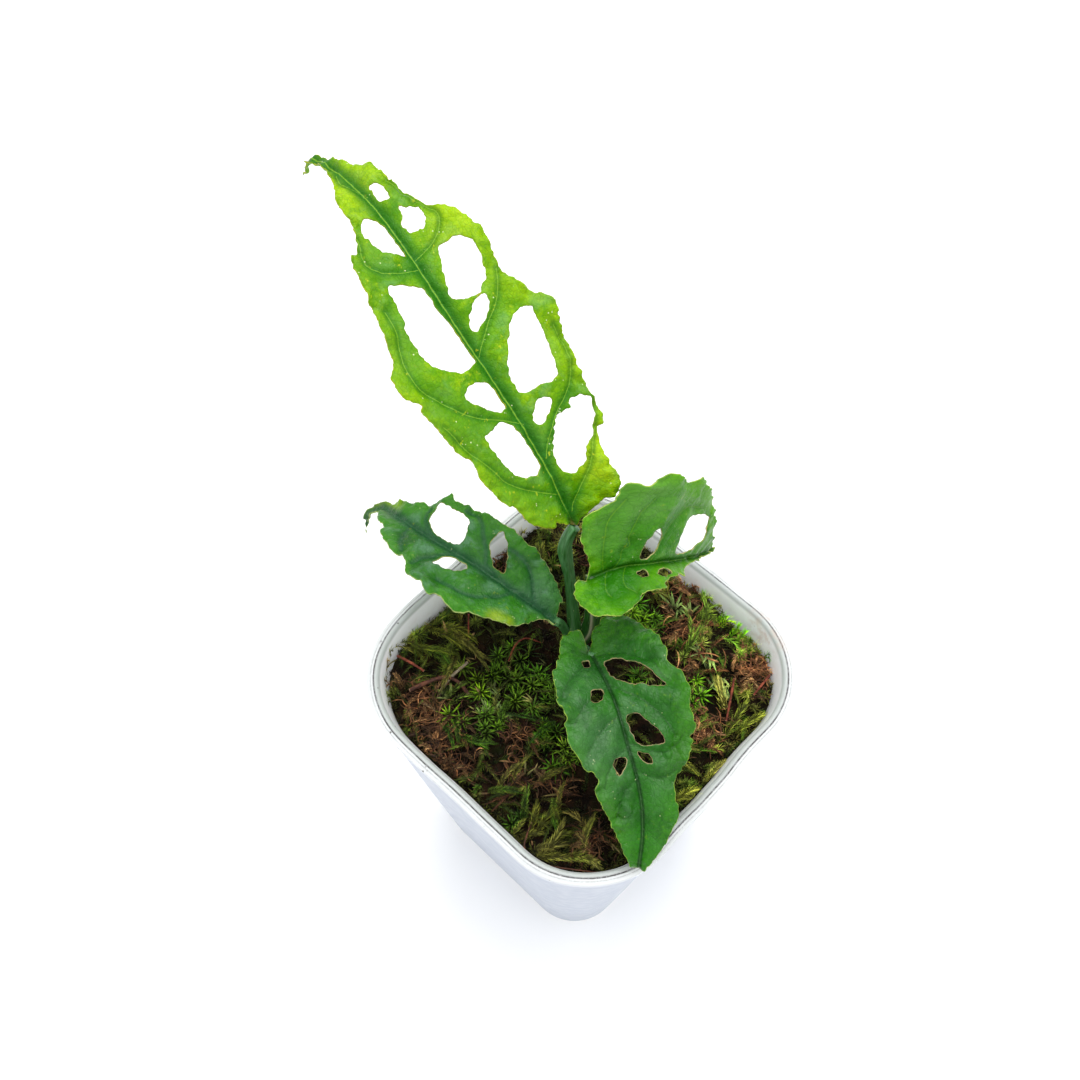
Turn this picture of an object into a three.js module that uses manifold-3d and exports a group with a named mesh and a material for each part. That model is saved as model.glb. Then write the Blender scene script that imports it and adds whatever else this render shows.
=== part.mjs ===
// Potted monstera obliqua: a young plant with four pierced leaves in a thin square plastic pot,
// its growing medium covered with living and dry moss. Millimetres, +Z up. The origin is the
// middle of the pot's flat underside, and the pot's walls face along X and Y.
import * as THREE from "three";
import { mergeVertices } from "three/addons/utils/BufferGeometryUtils.js";
import Module from "manifold-3d";

const wasm = await Module();
wasm.setup();

// Driving dimensions
const GAP = 0.3;
const POT = {
  height: 110,
  baseHalf: 34.3,
  baseCorner: 15.3,
  topHalf: 49.1,
  topCorner: 26.8,
  wall: 1.1,
  floor: 2,
  lipOut: 1.2,
  lipDrop: 5.5,
  footRound: 1.2,
  drainRadius: 3.5,
  drainPlace: 15,
};
const MEDIUM_TOP = 96;
const MOSS = {
  bottom: 96.4,
  level: 102.4,
  lump: 3,
  lumps: 80,
  edgeDrop: 2.2,
  rings: 13,
  edgeStep: 4.37,
  footInset: 0.985,
};
const STEM = { x: -8, y: 6.5, foot: 88, top: 113, footRadius: 3.4, topRadius: 2.2, hole: 4 };
const BLADE = {
  thickness: 0.7,
  cell: 3.8,
  edgeStep: 2.1,
  ribDepth: 1.1,
  ribHalf: 1.5,
  ribStep: 2.6,
  ribRoom: 0.8,
  reachBack: 12,
  rowsASide: 10,
};

// Colours
const COLOUR = {
  pot: 0xe9edf2,
  medium: 0x3a2a1f,
  moss: 0x5c7a2c,
  dry: 0x7a5436,
  stick: 0x7c4a38,
  stem: 0x3f7d35,
  young: 0x7fbf2a,
  grown: 0x2f7a35,
};

// The four leaves. rib is the midrib from the joint to the tip. roll turns a blade about its rib,
// and fold lifts each half from it, in degrees at base, middle and tip. Edges and holes are in
// the flat blade: distance along the rib, then distance from it, with the left half negative.
const LEAVES = {
  back: {
    colour: COLOUR.young,
    rib: [
      [-16, 14, 152], [-30, 16, 167], [-44, 17, 179], [-61, 18.5, 190], [-77.5, 21.5, 197],
      [-94, 24.5, 201], [-111.5, 27, 200], [-120, 28.5, 197], [-125, 28.5, 194], [-129, 28.5, 187],
    ],
    roll: [0, 0, 0],
    fold: { left: [12, 10, 10], right: [20, 14, 10] },
    ruffle: 0.7,
    quilt: 0.9,
    veinPitch: 17,
    right: [
      [0, 0.5], [1.5, 3], [3.5, 9], [3, 12], [4.5, 14], [7.5, 15.5], [12.5, 14.5], [19.5, 16],
      [21, 18.5], [29.5, 19], [42, 21], [50, 23], [53, 22.5], [55.5, 20], [65, 17], [76, 18],
      [84.5, 14.5], [88, 11], [95, 8.5], [106, 7.5], [109.5, 4.5], [120, 1.6], [127, 1.2],
    ],
    left: [
      [1.5, 1.5], [4, 4.5], [4, 6.5], [8.5, 11.5], [14.5, 13.5], [17.5, 16], [26, 18.5], [31, 17.5],
      [34, 19.5], [44, 21], [47, 21.5], [48, 20.5], [52, 23.5], [56.5, 22.5], [59, 19.5], [67.5, 17],
      [79.5, 15], [84.5, 13.5], [86, 11], [92, 8], [99.5, 7.5], [108, 3.5], [114, 1.8], [127, 1],
    ],
    holes: [
      [[101, 3], [100.5, 4.5], [97.5, 5], [94, 4], [95.5, 2.5], [98, 2]],
      [[91, 5], [88.5, 8.5], [85, 8], [82.5, 6.5], [83.5, 3.5], [86, 2.5], [88.5, 3.5]],
      [[91, -6.5], [92, -5.5], [90, -2.2], [87, -1.6], [79.5, -1.4], [81.5, -4.5], [86.5, -7.5]],
      [
        [73.5, -10], [74, -8.5], [70.5, -3], [64, -1.8], [50, -1.5], [48.5, -4], [52, -10.5],
        [59, -13], [64, -11.5], [69, -11],
      ],
      [
        [77.5, 7.5], [76.5, 12.5], [71, 14.5], [64.5, 12.5], [62.5, 8], [62.5, 5], [64.5, 3],
        [74.5, 5.5],
      ],
      [[61.5, 10], [60, 10.5], [57, 8.5], [55, 3.5], [57.5, 3], [60.5, 5]],
      [[54, 14.5], [51, 17.5], [43.5, 16.5], [37, 14.5], [35, 11], [35.5, 6.5], [37.5, 3.5], [45, 5.5]],
      [[44.5, -9.5], [45.5, -6], [43.5, -2.2], [37, -1.6], [36, -2.8], [40.5, -8]],
      [
        [33.5, -11], [34, -6.5], [31.5, -2.8], [26.5, -1.8], [19.5, -1.6], [18, -3], [20.5, -8.5],
        [30, -11.5],
      ],
      [[33, 6], [33, 8], [31.5, 9.5], [28.5, 6], [27.5, 4], [30, 3.4]],
      [[29.5, 14], [27.5, 17.5], [23.5, 17], [14, 9.5], [13, 6.5], [15.5, 3], [20, 3.5], [28, 9.5]],
    ],
  },
  left: {
    colour: COLOUR.grown,
    rib: [
      [-10.5, 1.5, 124], [-22, -2.5, 131], [-34.5, -4.5, 133], [-48.5, -6, 131], [-63.5, -6, 126],
      [-71.5, -5, 121], [-75.5, -7, 118], [-76, -9, 114.5], [-74.5, -11, 110.5],
    ],
    roll: [0, 0, 0],
    fold: { left: [14, 14, 10], right: [14, 14, 10] },
    ruffle: 0.7,
    quilt: 0.8,
    veinPitch: 11,
    right: [
      [0, 0.8], [2, 4], [1.5, 5.5], [7.5, 9], [13.5, 12], [22.5, 13], [35, 13.5], [42, 12.5],
      [47, 13], [48.5, 10.5], [54, 6.5], [60.5, 4.5], [67, 2], [73, 1.2],
    ],
    left: [
      [0, 0.8], [4.5, 2.5], [11, 10], [15, 11.5], [19.5, 14.5], [23.5, 16], [28.5, 15], [30.5, 16],
      [33.5, 14.5], [38.5, 14], [42, 10.5], [47, 10.5], [54.5, 8], [55.5, 6], [59, 5], [62, 4.2],
      [66, 1.8], [73, 1.2],
    ],
    holes: [
      [[47, 4], [48, 8.5], [46, 9.5], [37, 10], [34.5, 7], [34, 2.5], [42, 1.8]],
      [[27, 7], [26, 11], [22.5, 8.5], [19.5, 3], [22, 2.2], [24, 3.5]],
      [[35, -7], [35.5, -4.5], [33.5, -2], [28, -2], [29, -5.5]],
    ],
  },
  right: {
    colour: COLOUR.grown,
    rib: [
      [-5, 8, 147], [-1.5, 15.5, 147], [2.5, 24, 143], [4.5, 33.5, 135], [5, 42, 127],
      [4.5, 52, 118],
    ],
    roll: [-40, -45, -50],
    fold: { left: [20, 25, 30], right: [50, 45, 40] },
    ruffle: 0.6,
    quilt: 0.7,
    veinPitch: 11,
    right: [
      [-1.5, 0.8], [-4, -0.4], [-6, 4.5], [-4, 11], [-1.5, 12], [2, 13.5], [5.5, 12.5], [12.5, 8.5],
      [17, 8], [18, 6.5], [24, 4.5], [25.5, 5.5], [31, 2.5], [41.5, 1.2], [54, 0.6],
    ],
    left: [
      [0.5, 3.5], [-0.5, 12.5], [2.5, 17.5], [7, 19.5], [8.5, 24], [11.5, 23], [15.5, 26],
      [21.5, 22.5], [26.5, 23.5], [36, 18], [43, 11.5], [48.5, 4.5], [54, 0.8],
    ],
    holes: [
      [[38, -11.5], [32.5, -13], [26, -11.5], [25.5, -3.5], [29.5, -1.8], [37, -3.8], [39.5, -6.5]],
      [[16, -10.5], [18.5, -6.5], [17.5, -3.5], [16, -1.8], [13.5, -1.8], [13.2, -6]],
      [[11, 3], [13.5, 1.8], [14.5, 2.8], [13.5, 4]],
      [[17, 3.5], [20.5, 2], [21.5, 3.5], [19, 5]],
    ],
  },
  front: {
    colour: COLOUR.grown,
    rib: [
      [5.5, -2, 131], [17.5, -8, 135], [28, -14, 132], [37, -19, 125.5], [43, -24, 119],
      [48, -30.5, 113],
    ],
    roll: [0, 0, 0],
    fold: { left: [12, 12, 8], right: [12, 12, 8] },
    ruffle: 0.7,
    quilt: 0.8,
    veinPitch: 11,
    right: [
      [-2, 0.5], [-7, 0], [-8.5, 1], [-8.5, 3.5], [-6.5, 6], [1, 10], [3.5, 12], [10, 13.5],
      [13.5, 14.5], [15, 13.5], [23, 15], [25.5, 13.5], [29, 12.5], [30, 11], [32, 10], [35, 11.5],
      [42, 9.5], [50.5, 6.5], [57, 3], [58.5, 2.4],
    ],
    left: [
      [-2.5, 0.8], [-7, 3.2], [-8.5, 5.5], [-9, 8], [-4.5, 13.5], [-1, 15], [5, 17], [10, 17],
      [12, 16], [14.5, 18], [18, 18.5], [22, 17.5], [27, 17], [29, 15.5], [30.5, 15.5], [35, 12],
      [39, 8.5], [44.5, 9], [49.5, 6.5], [58.5, 2],
    ],
    holes: [
      [[4.5, -1.8], [4, -3], [7, -7.5], [15, -13], [16, -12], [13.5, -6], [11, -2.8], [8, -1.8]],
      [[20, -1.8], [20.5, -4.5], [24, -7.5], [27.5, -9], [28.5, -7.5], [27.5, -3.2], [24, -1.8]],
      [[29, -2], [30.5, -4.5], [32.5, -4.5], [31.5, -2.6]],
      [[30, 5], [29, 3.5], [29.5, 1.6], [31, 1.8], [33, 4.5]],
      [[13, 5.5], [11.5, 4], [12, 1.8], [14.5, 3], [15, 5.4]],
      [[1.5, 3.2], [2, 1.6], [4, 2.4], [3.2, 3.6]],
    ],
  },
};
const PETIOLES = {
  back: { radii: [2, 1.5, 1.45, 1.85, 1.5], path: [
    [-8, 6.5, 113.4], [-12, 9.5, 122], [-14, 10.5, 131], [-16, 11, 138.5], [-16.6, 11, 145],
    [-16.4, 12.5, 150], [-16, 14, 152],
  ] },
  left: { radii: [1.6, 1.2, 1.2], path: [
    [-8, 6.5, 106.5], [-9.6, 5.2, 113], [-10.6, 3.8, 119], [-10.5, 1.5, 124],
  ] },
  right: { radii: [2.6, 2.2, 1.3], path: [
    [-7.5, 7, 107.5], [-5, 9.5, 116], [-5.2, 10.4, 126], [-5.4, 9.4, 137], [-5, 8, 147],
  ] },
  front: { radii: [1.8, 1.3, 1.3], path: [
    [-7.5, 6, 107], [-2.5, 3.5, 116], [2, 1, 124], [5.5, -2, 131],
  ] },
};

// Sticks, roots and twigs that lie in the moss: radius and path.
const STICKS = {
  stick_left: { radius: 0.9, path: [[-42, -29.8, 104.5], [-37, -28.8, 105.4], [-33, -28, 105]] },
  root_left: { radius: 0.9, path: [
    [-32.5, -34, 103], [-30, -28.6, 104.2], [-27.5, -24.6, 104.2], [-24, -23.2, 103.8], [-20, -23.5, 102.6],
  ] },
  stick_pale: { radius: 0.8, path: [[-24.6, -31, 104.4], [-25.4, -26, 106.9], [-25.5, -18.5, 106.4]] },
  twig_centre: { radius: 0.55, path: [
    [-18.6, -9, 103], [-19.6, -5.5, 106], [-19, -1.8, 106.4], [-15.5, 1.5, 103.5],
  ] },
  stick_small: { radius: 0.5, path: [[-36, -7.4, 106.5], [-33.5, -10, 105.5], [-31, -12.6, 104]] },
  twig_front: { radius: 0.5, path: [
    [17.5, -37.5, 104], [19.5, -41.5, 106], [21.5, -44.2, 106.6], [25.5, -44.6, 106.2], [29.5, -42.6, 106],
    [34, -39.6, 106.4], [39, -35.4, 105],
  ] },
  stick_right: { radius: 0.8, path: [[31, 30, 104], [34, 24.6, 105.8], [37.4, 18.6, 104.5]] },
  stick_right_back: { radius: 0.8, path: [[37.4, 38, 103.4], [37.8, 34, 104.6], [38, 30, 104]] },
};

// Patches of the moss layer that are dry and brown: middle, reach and turn
const DRY_PATCHES = {
  dry_moss_left: { x: -14, y: -30, long: 15, wide: 9, turn: 0.2 },
  dry_moss_front: { x: 20, y: -24, long: 10, wide: 7, turn: 0.9 },
  dry_moss_right: { x: 22, y: 24, long: 13, wide: 8, turn: -0.6 },
};
// How a dry patch's outline leaves an oval: corners, and the depth of its long and short waves
const PATCH = { corners: 18, longWave: 0.14, shortWave: 0.1 };

// Feather-moss fronds: foot, heading in degrees, length
const FRONDS = [
  [24, -39, 40, 17], [40, -22, 95, 13], [-38, -6, 200, 13], [-31, -20, 110, 13], [-10, -16, 300, 14],
  [4, -14, 250, 13], [30, 0, 20, 13], [4, 34, 150, 13], [-30, 14, 130, 13],
];
const FROND = {
  toothPitch: 2.1,
  halfWidth: 2.1,
  waist: 0.45,
  toothReach: 1.15,
  tipReach: 1.04,
  arch: 3.6,
  archTurn: 2.6,
  sag: 0.35,
  halfThickness: 0.4,
};

// Starry shoots: how far out they stand, their spacing, and the needles in each
const TUFT = { reach: 42, pitch: 12.7, needles: 5, sink: 0.8, lean: 0.7, leanSpread: 0.4 };
const NEEDLE = { radius: 0.75, length: 5.2, spread: 1.6 };

// Heights that reach well below and above the moss, for solids that cut through all of it
const BELOW_MOSS = MOSS.bottom - 2;
const ABOVE_MOSS = POT.height + 9;

// Small seeded source of random numbers from 0 to 1
function seeded(seed) {
  let state = seed >>> 0;
  return () => {
    state = (state + 0x6d2b79f5) >>> 0;
    let t = Math.imul(state ^ (state >>> 15), 1 | state);
    t = (t + Math.imul(t ^ (t >>> 7), 61 | t)) ^ t;
    return ((t ^ (t >>> 14)) >>> 0) / 4294967296;
  };
}

const toRadians = THREE.MathUtils.degToRad;
const point = (p) => new THREE.Vector3(...p);

// Closed triangle mesh from corners and faces, turned to face out
function closedMesh(corners, faces) {
  let volume = 0;
  const cross = new THREE.Vector3();
  for (const [a, b, c] of faces) volume += cross.crossVectors(corners[a], corners[b]).dot(corners[c]);
  const turned = volume < 0 ? faces.map(([a, b, c]) => [a, c, b]) : faces;
  const geometry = new THREE.BufferGeometry().setFromPoints(corners);
  geometry.setIndex(turned.flat());
  return geometry;
}

// Rings of equal count joined into a skin, with a fan over the first and the last
function loft(rings) {
  const count = rings[0].length;
  const faces = [];
  for (let r = 0; r + 1 < rings.length; r++)
    for (let i = 0; i < count; i++) {
      const [a, b] = [r * count + i, r * count + ((i + 1) % count)];
      faces.push([a, b, b + count], [a, b + count, a + count]);
    }
  const last = (rings.length - 1) * count;
  for (let i = 1; i + 1 < count; i++) faces.push([0, i + 1, i], [last, last + i, last + i + 1]);
  return closedMesh(rings.flat(), faces);
}

// A tube that follows a path, its radius blended through the given ones
function tube(path, radii, sides, steps, extra = 0) {
  const curve = new THREE.CatmullRomCurve3(path.map(point));
  const frames = curve.computeFrenetFrames(steps, false);
  const rings = [];
  for (let k = 0; k <= steps; k++) {
    const at = (k / steps) * (radii.length - 1);
    const i = Math.min(Math.floor(at), radii.length - 2);
    const radius = THREE.MathUtils.lerp(radii[i], radii[i + 1], at - i);
    const middle = curve.getPointAt(k / steps);
    rings.push(
      Array.from({ length: sides }, (_, j) => {
        const angle = (2 * Math.PI * j) / sides;
        return middle
          .clone()
          .addScaledVector(frames.normals[k], (radius + extra) * Math.cos(angle))
          .addScaledVector(frames.binormals[k], (radius + extra) * Math.sin(angle));
      }),
    );
  }
  return loft(rings);
}

// A square ring with round corners at height z
function squareRing(half, corner, z) {
  const arcSteps = 8;
  const inset = half - corner;
  const ring = [];
  for (let quarter = 0; quarter < 4; quarter++)
    for (let k = 0; k <= arcSteps; k++) {
      const angle = (quarter + k / arcSteps) * (Math.PI / 2);
      const [sx, sy] = [[1, 1], [-1, 1], [-1, -1], [1, -1]][quarter];
      const x = sx * inset + corner * Math.cos(angle);
      const y = sy * inset + corner * Math.sin(angle);
      ring.push(new THREE.Vector3(x, y, z));
    }
  return ring;
}

// Solids that can be joined and cut
function solid(geometry) {
  const bare = geometry.index ? geometry.clone() : geometry;
  bare.deleteAttribute("normal");
  bare.deleteAttribute("uv");
  const merged = mergeVertices(bare, 1e-4);
  return new wasm.Manifold(
    new wasm.Mesh({
      numProp: 3,
      vertProperties: merged.attributes.position.array,
      triVerts: new Uint32Array(merged.index.array),
    }),
  );
}

// A solid's largest connected body as a geometry, loose scraps dropped
function geometryOf(body) {
  const { vertProperties, triVerts } = body.getMesh();
  const parent = Array.from({ length: vertProperties.length / 3 }, (_, i) => i);
  const rootOf = (i) => {
    while (parent[i] !== i) i = parent[i] = parent[parent[i]];
    return i;
  };
  for (let i = 0; i < triVerts.length; i += 3) {
    parent[rootOf(triVerts[i])] = rootOf(triVerts[i + 1]);
    parent[rootOf(triVerts[i + 1])] = rootOf(triVerts[i + 2]);
  }
  const faces = new Map();
  for (let i = 0; i < triVerts.length; i += 3) {
    const root = rootOf(triVerts[i]);
    if (!faces.has(root)) faces.set(root, []);
    faces.get(root).push(triVerts[i], triVerts[i + 1], triVerts[i + 2]);
  }
  const largest = [...faces.values()].sort((a, b) => b.length - a.length)[0];
  const geometry = new THREE.BufferGeometry();
  geometry.setAttribute("position", new THREE.BufferAttribute(vertProperties.slice(), 3));
  geometry.setIndex(largest);
  return geometry.toNonIndexed();
}

const cross2 = (a, b, c) => (b.x - a.x) * (c.y - a.y) - (b.y - a.y) * (c.x - a.x);

// Whether d is inside the circle through a, b and c, which run anticlockwise.
function inCircle(a, b, c, d) {
  const [ax, ay] = [a.x - d.x, a.y - d.y];
  const [bx, by] = [b.x - d.x, b.y - d.y];
  const [cx, cy] = [c.x - d.x, c.y - d.y];
  const [aa, bb, cc] = [ax * ax + ay * ay, bx * bx + by * by, cx * cx + cy * cy];
  return ax * (by * cc - bb * cy) - ay * (bx * cc - bb * cx) + aa * (bx * cy - by * cx) > 1e-9;
}

// Triangles over a flat outline with holes, through chosen inner points, with long slivers
// turned into well shaped ones by flipping shared edges.
function meshFlat(outline, holes, inner) {
  const points = [...outline, ...holes.flat(), ...inner];
  const across = new Map();
  const key = (a, b) => a * points.length + b;
  const corners = (a, b, c) => [[a, b, c], [b, c, a], [c, a, b]];
  const add = (a, b, c) => corners(a, b, c).forEach(([i, j, k]) => across.set(key(i, j), k));
  const drop = (a, b, c) => corners(a, b, c).forEach(([i, j]) => across.delete(key(i, j)));
  function settle(a, b) {
    const c = across.get(key(a, b));
    const d = across.get(key(b, a));
    if (c === undefined || d === undefined) return;
    if (!inCircle(points[a], points[b], points[c], points[d])) return;
    drop(a, b, c);
    drop(b, a, d);
    add(a, d, c);
    add(d, b, c);
    for (const [i, j] of [[a, d], [d, b], [b, c], [c, a]]) settle(i, j);
  }
  for (const [a, b, c] of THREE.ShapeUtils.triangulateShape(outline, holes))
    cross2(points[a], points[b], points[c]) > 0 ? add(a, b, c) : add(a, c, b);
  for (const edge of [...across.keys()]) settle(Math.floor(edge / points.length), edge % points.length);
  const first = points.length - inner.length;
  for (let p = first; p < points.length; p++)
    for (const [edge, c] of across) {
      const [a, b] = [Math.floor(edge / points.length), edge % points.length];
      const sides = [[a, b], [b, c], [c, a]];
      if (sides.some(([i, j]) => cross2(points[i], points[j], points[p]) < 1e-4)) continue;
      drop(a, b, c);
      for (const [i, j] of sides) add(i, j, p);
      for (const [i, j] of sides) settle(i, j);
      break;
    }
  const triangles = [];
  const rim = [];
  for (const [edge, c] of across) {
    const [a, b] = [Math.floor(edge / points.length), edge % points.length];
    if (a < b && a < c) triangles.push([a, b, c]);
    if (!across.has(key(b, a))) rim.push([a, b]);
  }
  return { points, triangles, rim };
}

// The same triangles on both faces of a sheet, with walls round its edge and holes.
function sheetMesh({ points, triangles, rim }, top, bottom) {
  const corners = [...points.map(top), ...points.map(bottom)];
  const n = points.length;
  const faces = [];
  for (const [a, b, c] of triangles) faces.push([a, b, c], [a + n, c + n, b + n]);
  for (const [a, b] of rim) faces.push([b, a, a + n], [b, a + n, b + n]);
  return closedMesh(corners, faces);
}

function isInside(p, loop) {
  let inside = false;
  for (let i = 0, j = loop.length - 1; i < loop.length; j = i++) {
    const [a, b] = [loop[i], loop[j]];
    const isSpanned = a.y > p.y !== b.y > p.y;
    if (isSpanned && p.x < ((b.x - a.x) * (p.y - a.y)) / (b.y - a.y) + a.x) inside = !inside;
  }
  return inside;
}

// Evenly spaced points on a smooth line through the given ones
function smoothLine(points, step) {
  const curve = new THREE.SplineCurve(points.map(([s, t]) => new THREE.Vector2(s, t)));
  return curve.getSpacedPoints(Math.max(2, Math.round(curve.getLength() / step)));
}

function smoothLoop(points, step) {
  const curve = new THREE.CatmullRomCurve3(points.map(([s, t]) => new THREE.Vector3(s, t, 0)), true);
  const count = Math.max(6, Math.round(curve.getLength() / step));
  return curve.getSpacedPoints(count).slice(0, count).map((p) => new THREE.Vector2(p.x, p.y));
}

// Value of a smooth run through three given ones, at u from 0 to 1
const through = ([a, b, c], u) => a * (1 - u) * (1 - 2 * u) + 4 * b * u * (1 - u) + c * u * (2 * u - 1);

// The surface of a leaf blade: a function from the flat blade to space
function bladeSurface(leaf) {
  const rib = new THREE.CatmullRomCurve3(leaf.rib.map(point), false, "catmullrom", 0.5);
  const length = rib.getLength();
  const widest = Math.max(...leaf.left.map(([, w]) => w), ...leaf.right.map(([, w]) => w));
  const up = new THREE.Vector3(0, 0, 1);
  function place(s, t) {
    const along = THREE.MathUtils.clamp(s, 0, length);
    const u = along / length;
    const tangent = rib.getTangentAt(u);
    const level = new THREE.Vector3().crossVectors(tangent, up).normalize();
    const above = new THREE.Vector3().crossVectors(level, tangent);
    const roll = toRadians(through(leaf.roll, u));
    const side = level.clone().multiplyScalar(Math.cos(roll)).addScaledVector(above, Math.sin(roll));
    const normal = above.clone().multiplyScalar(Math.cos(roll)).addScaledVector(level, -Math.sin(roll));
    const wide = Math.abs(t);
    const lift = toRadians(through(t < 0 ? leaf.fold.left : leaf.fold.right, u));
    const reach = wide / widest;
    const wave = Math.sin((2 * Math.PI * s) / (0.7 * leaf.veinPitch) + Math.sign(t));
    const ripple = leaf.ruffle * reach * reach * wave;
    const between = Math.sin((Math.PI * (s - 0.8 * wide)) / leaf.veinPitch);
    const swell = leaf.quilt * between * between * Math.min(1, wide / 6);
    return rib
      .getPointAt(u)
      .addScaledVector(tangent, s - along)
      .addScaledVector(side, t * Math.cos(lift))
      .addScaledVector(normal, wide * Math.sin(lift) + ripple + swell);
  }
  const step = 0.6;
  function face(s, t, offset) {
    const across = place(s, t + step).sub(place(s, t - step));
    const along = place(s + step, t).sub(place(s - step, t));
    return place(s, t).addScaledVector(across.cross(along).normalize(), offset);
  }
  return { face, length };
}

// A leaf blade with its holes and a rib standing out below. extra thickens it for cuts.
function bladeMesh(leaf, extra = 0) {
  const { face, length } = bladeSurface(leaf);
  const right = leaf.right.map(([s, w]) => [s, w]);
  const left = leaf.left.map(([s, w]) => [s, -w]);
  const tip = [length, 0];
  const outline = [
    ...smoothLine([...right, tip], BLADE.edgeStep),
    ...smoothLine([tip, ...left.reverse()], BLADE.edgeStep).slice(1),
  ];
  const holes = leaf.holes.map((hole) => smoothLoop(hole, BLADE.edgeStep));
  const edges = [outline, ...holes];
  const isClear = (p, room) =>
    isInside(p, outline) &&
    !holes.some((hole) => isInside(p, hole)) &&
    edges.every((loop) => loop.every((q) => p.distanceTo(q) > room));
  const inner = [];
  for (let s = BLADE.ribStep / 2; s < length - 2; s += BLADE.ribStep)
    for (const t of [-BLADE.ribHalf, 0, BLADE.ribHalf]) {
      const p = new THREE.Vector2(s, t);
      if (isClear(p, BLADE.ribRoom)) inner.push(p);
    }
  const rowHeight = BLADE.cell * Math.sqrt(3 / 4);
  const cellRoom = 0.55 * BLADE.cell;
  for (let row = -BLADE.rowsASide; row <= BLADE.rowsASide; row++) {
    const shift = row & 1 ? BLADE.cell / 2 : 0;
    for (let s = shift - BLADE.reachBack; s < length; s += BLADE.cell) {
      const p = new THREE.Vector2(s, row * rowHeight);
      if (Math.abs(p.y) > BLADE.ribHalf + 1 && isClear(p, cellRoom)) inner.push(p);
    }
  }
  const half = BLADE.thickness / 2 + extra;
  const ribBelow = ({ x, y }) => {
    const ridge = Math.max(0, 1 - Math.abs(y) / BLADE.ribHalf);
    return x < 0 ? 0 : BLADE.ribDepth * ridge * (1 - (0.75 * x) / length);
  };
  return sheetMesh(
    meshFlat(outline, holes, inner),
    (p) => face(p.x, p.y, half),
    (p) => face(p.x, p.y, -half - ribBelow(p)),
  );
}

// Pot: thin walls that lean out, round corners, a folded lip, drainage holes in the floor.
function potMesh() {
  const share = (z) => z / POT.height;
  const half = (z) => THREE.MathUtils.lerp(POT.baseHalf, POT.topHalf, share(z));
  const corner = (z) => THREE.MathUtils.lerp(POT.baseCorner, POT.topCorner, share(z));
  const ring = (z, out) => squareRing(half(z) + out, corner(z) + out, z);
  const under = POT.height - POT.lipDrop;
  const shell = loft([
    ring(0, -POT.footRound),
    ring(POT.footRound * 0.3, -POT.footRound * 0.3),
    ring(POT.footRound, 0),
    ring(under, 0),
    ring(under, POT.lipOut - 0.2),
    ring(under + 0.6, POT.lipOut),
    ring(POT.height - 2, POT.lipOut * 0.9),
    ring(POT.height - 0.3, 0.2),
    ring(POT.height, -0.3),
    ring(POT.height, -0.8),
    ring(POT.height - 0.5, -POT.wall),
    ring(POT.floor + 1.5, -POT.wall),
    ring(POT.floor, -POT.wall - 1.5),
  ]);
  let body = solid(shell);
  for (const x of [-1, 1])
    for (const y of [-1, 1]) {
      const drain = new THREE.CylinderGeometry(POT.drainRadius, POT.drainRadius, 3 * POT.floor, 20);
      drain.rotateX(Math.PI / 2);
      drain.translate(x * POT.drainPlace, y * POT.drainPlace, POT.floor / 2);
      body = body.subtract(solid(drain));
    }
  return geometryOf(body);
}

// The pot's inside, drawn in by a clearance, from one height to another
function potInside(from, to, clearance) {
  const ring = (z) => {
    const share = z / POT.height;
    const out = -POT.wall - clearance;
    const half = THREE.MathUtils.lerp(POT.baseHalf, POT.topHalf, share);
    const corner = THREE.MathUtils.lerp(POT.baseCorner, POT.topCorner, share);
    return squareRing(half + out, corner + out, z);
  };
  return [ring(from), ring(to)];
}

function stemHole(from, to) {
  const hole = new THREE.CylinderGeometry(STEM.hole, STEM.hole, to - from, 16);
  hole.rotateX(Math.PI / 2);
  hole.translate(STEM.x, STEM.y, (from + to) / 2);
  return solid(hole);
}

function mediumMesh() {
  const floor = POT.floor + GAP;
  const [foot] = potInside(floor, floor + 1, 2);
  const fill = loft([foot, ...potInside(floor + 1.6, MEDIUM_TOP, GAP)]);
  return geometryOf(solid(fill).subtract(stemHole(STEM.foot - GAP, MEDIUM_TOP + 5)));
}

// Height of the moss surface: seeded lumps and hollows, lower along the walls
const random = seeded(11);
const lumpSpan = 92;
const lumps = Array.from({ length: MOSS.lumps }, () => ({
  x: lumpSpan * (random() - 0.5),
  y: lumpSpan * (random() - 0.5),
  reach: 4 + 4 * random(),
  height: MOSS.lump * (1.7 * random() - 0.6),
}));
const MOUNDS = [
  { x: -33, y: 33, reach: 11, height: 4.5 },
  { x: -12, y: 40, reach: 7, height: 2.5 },
];
function mossTop(x, y, fromWall = 10) {
  let z = MOSS.level - MOSS.edgeDrop * Math.exp(-fromWall / 3);
  for (const lump of [...lumps, ...MOUNDS]) {
    const far = Math.hypot(x - lump.x, y - lump.y) / lump.reach;
    z += lump.height * Math.exp(-far * far);
  }
  return z;
}

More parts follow.
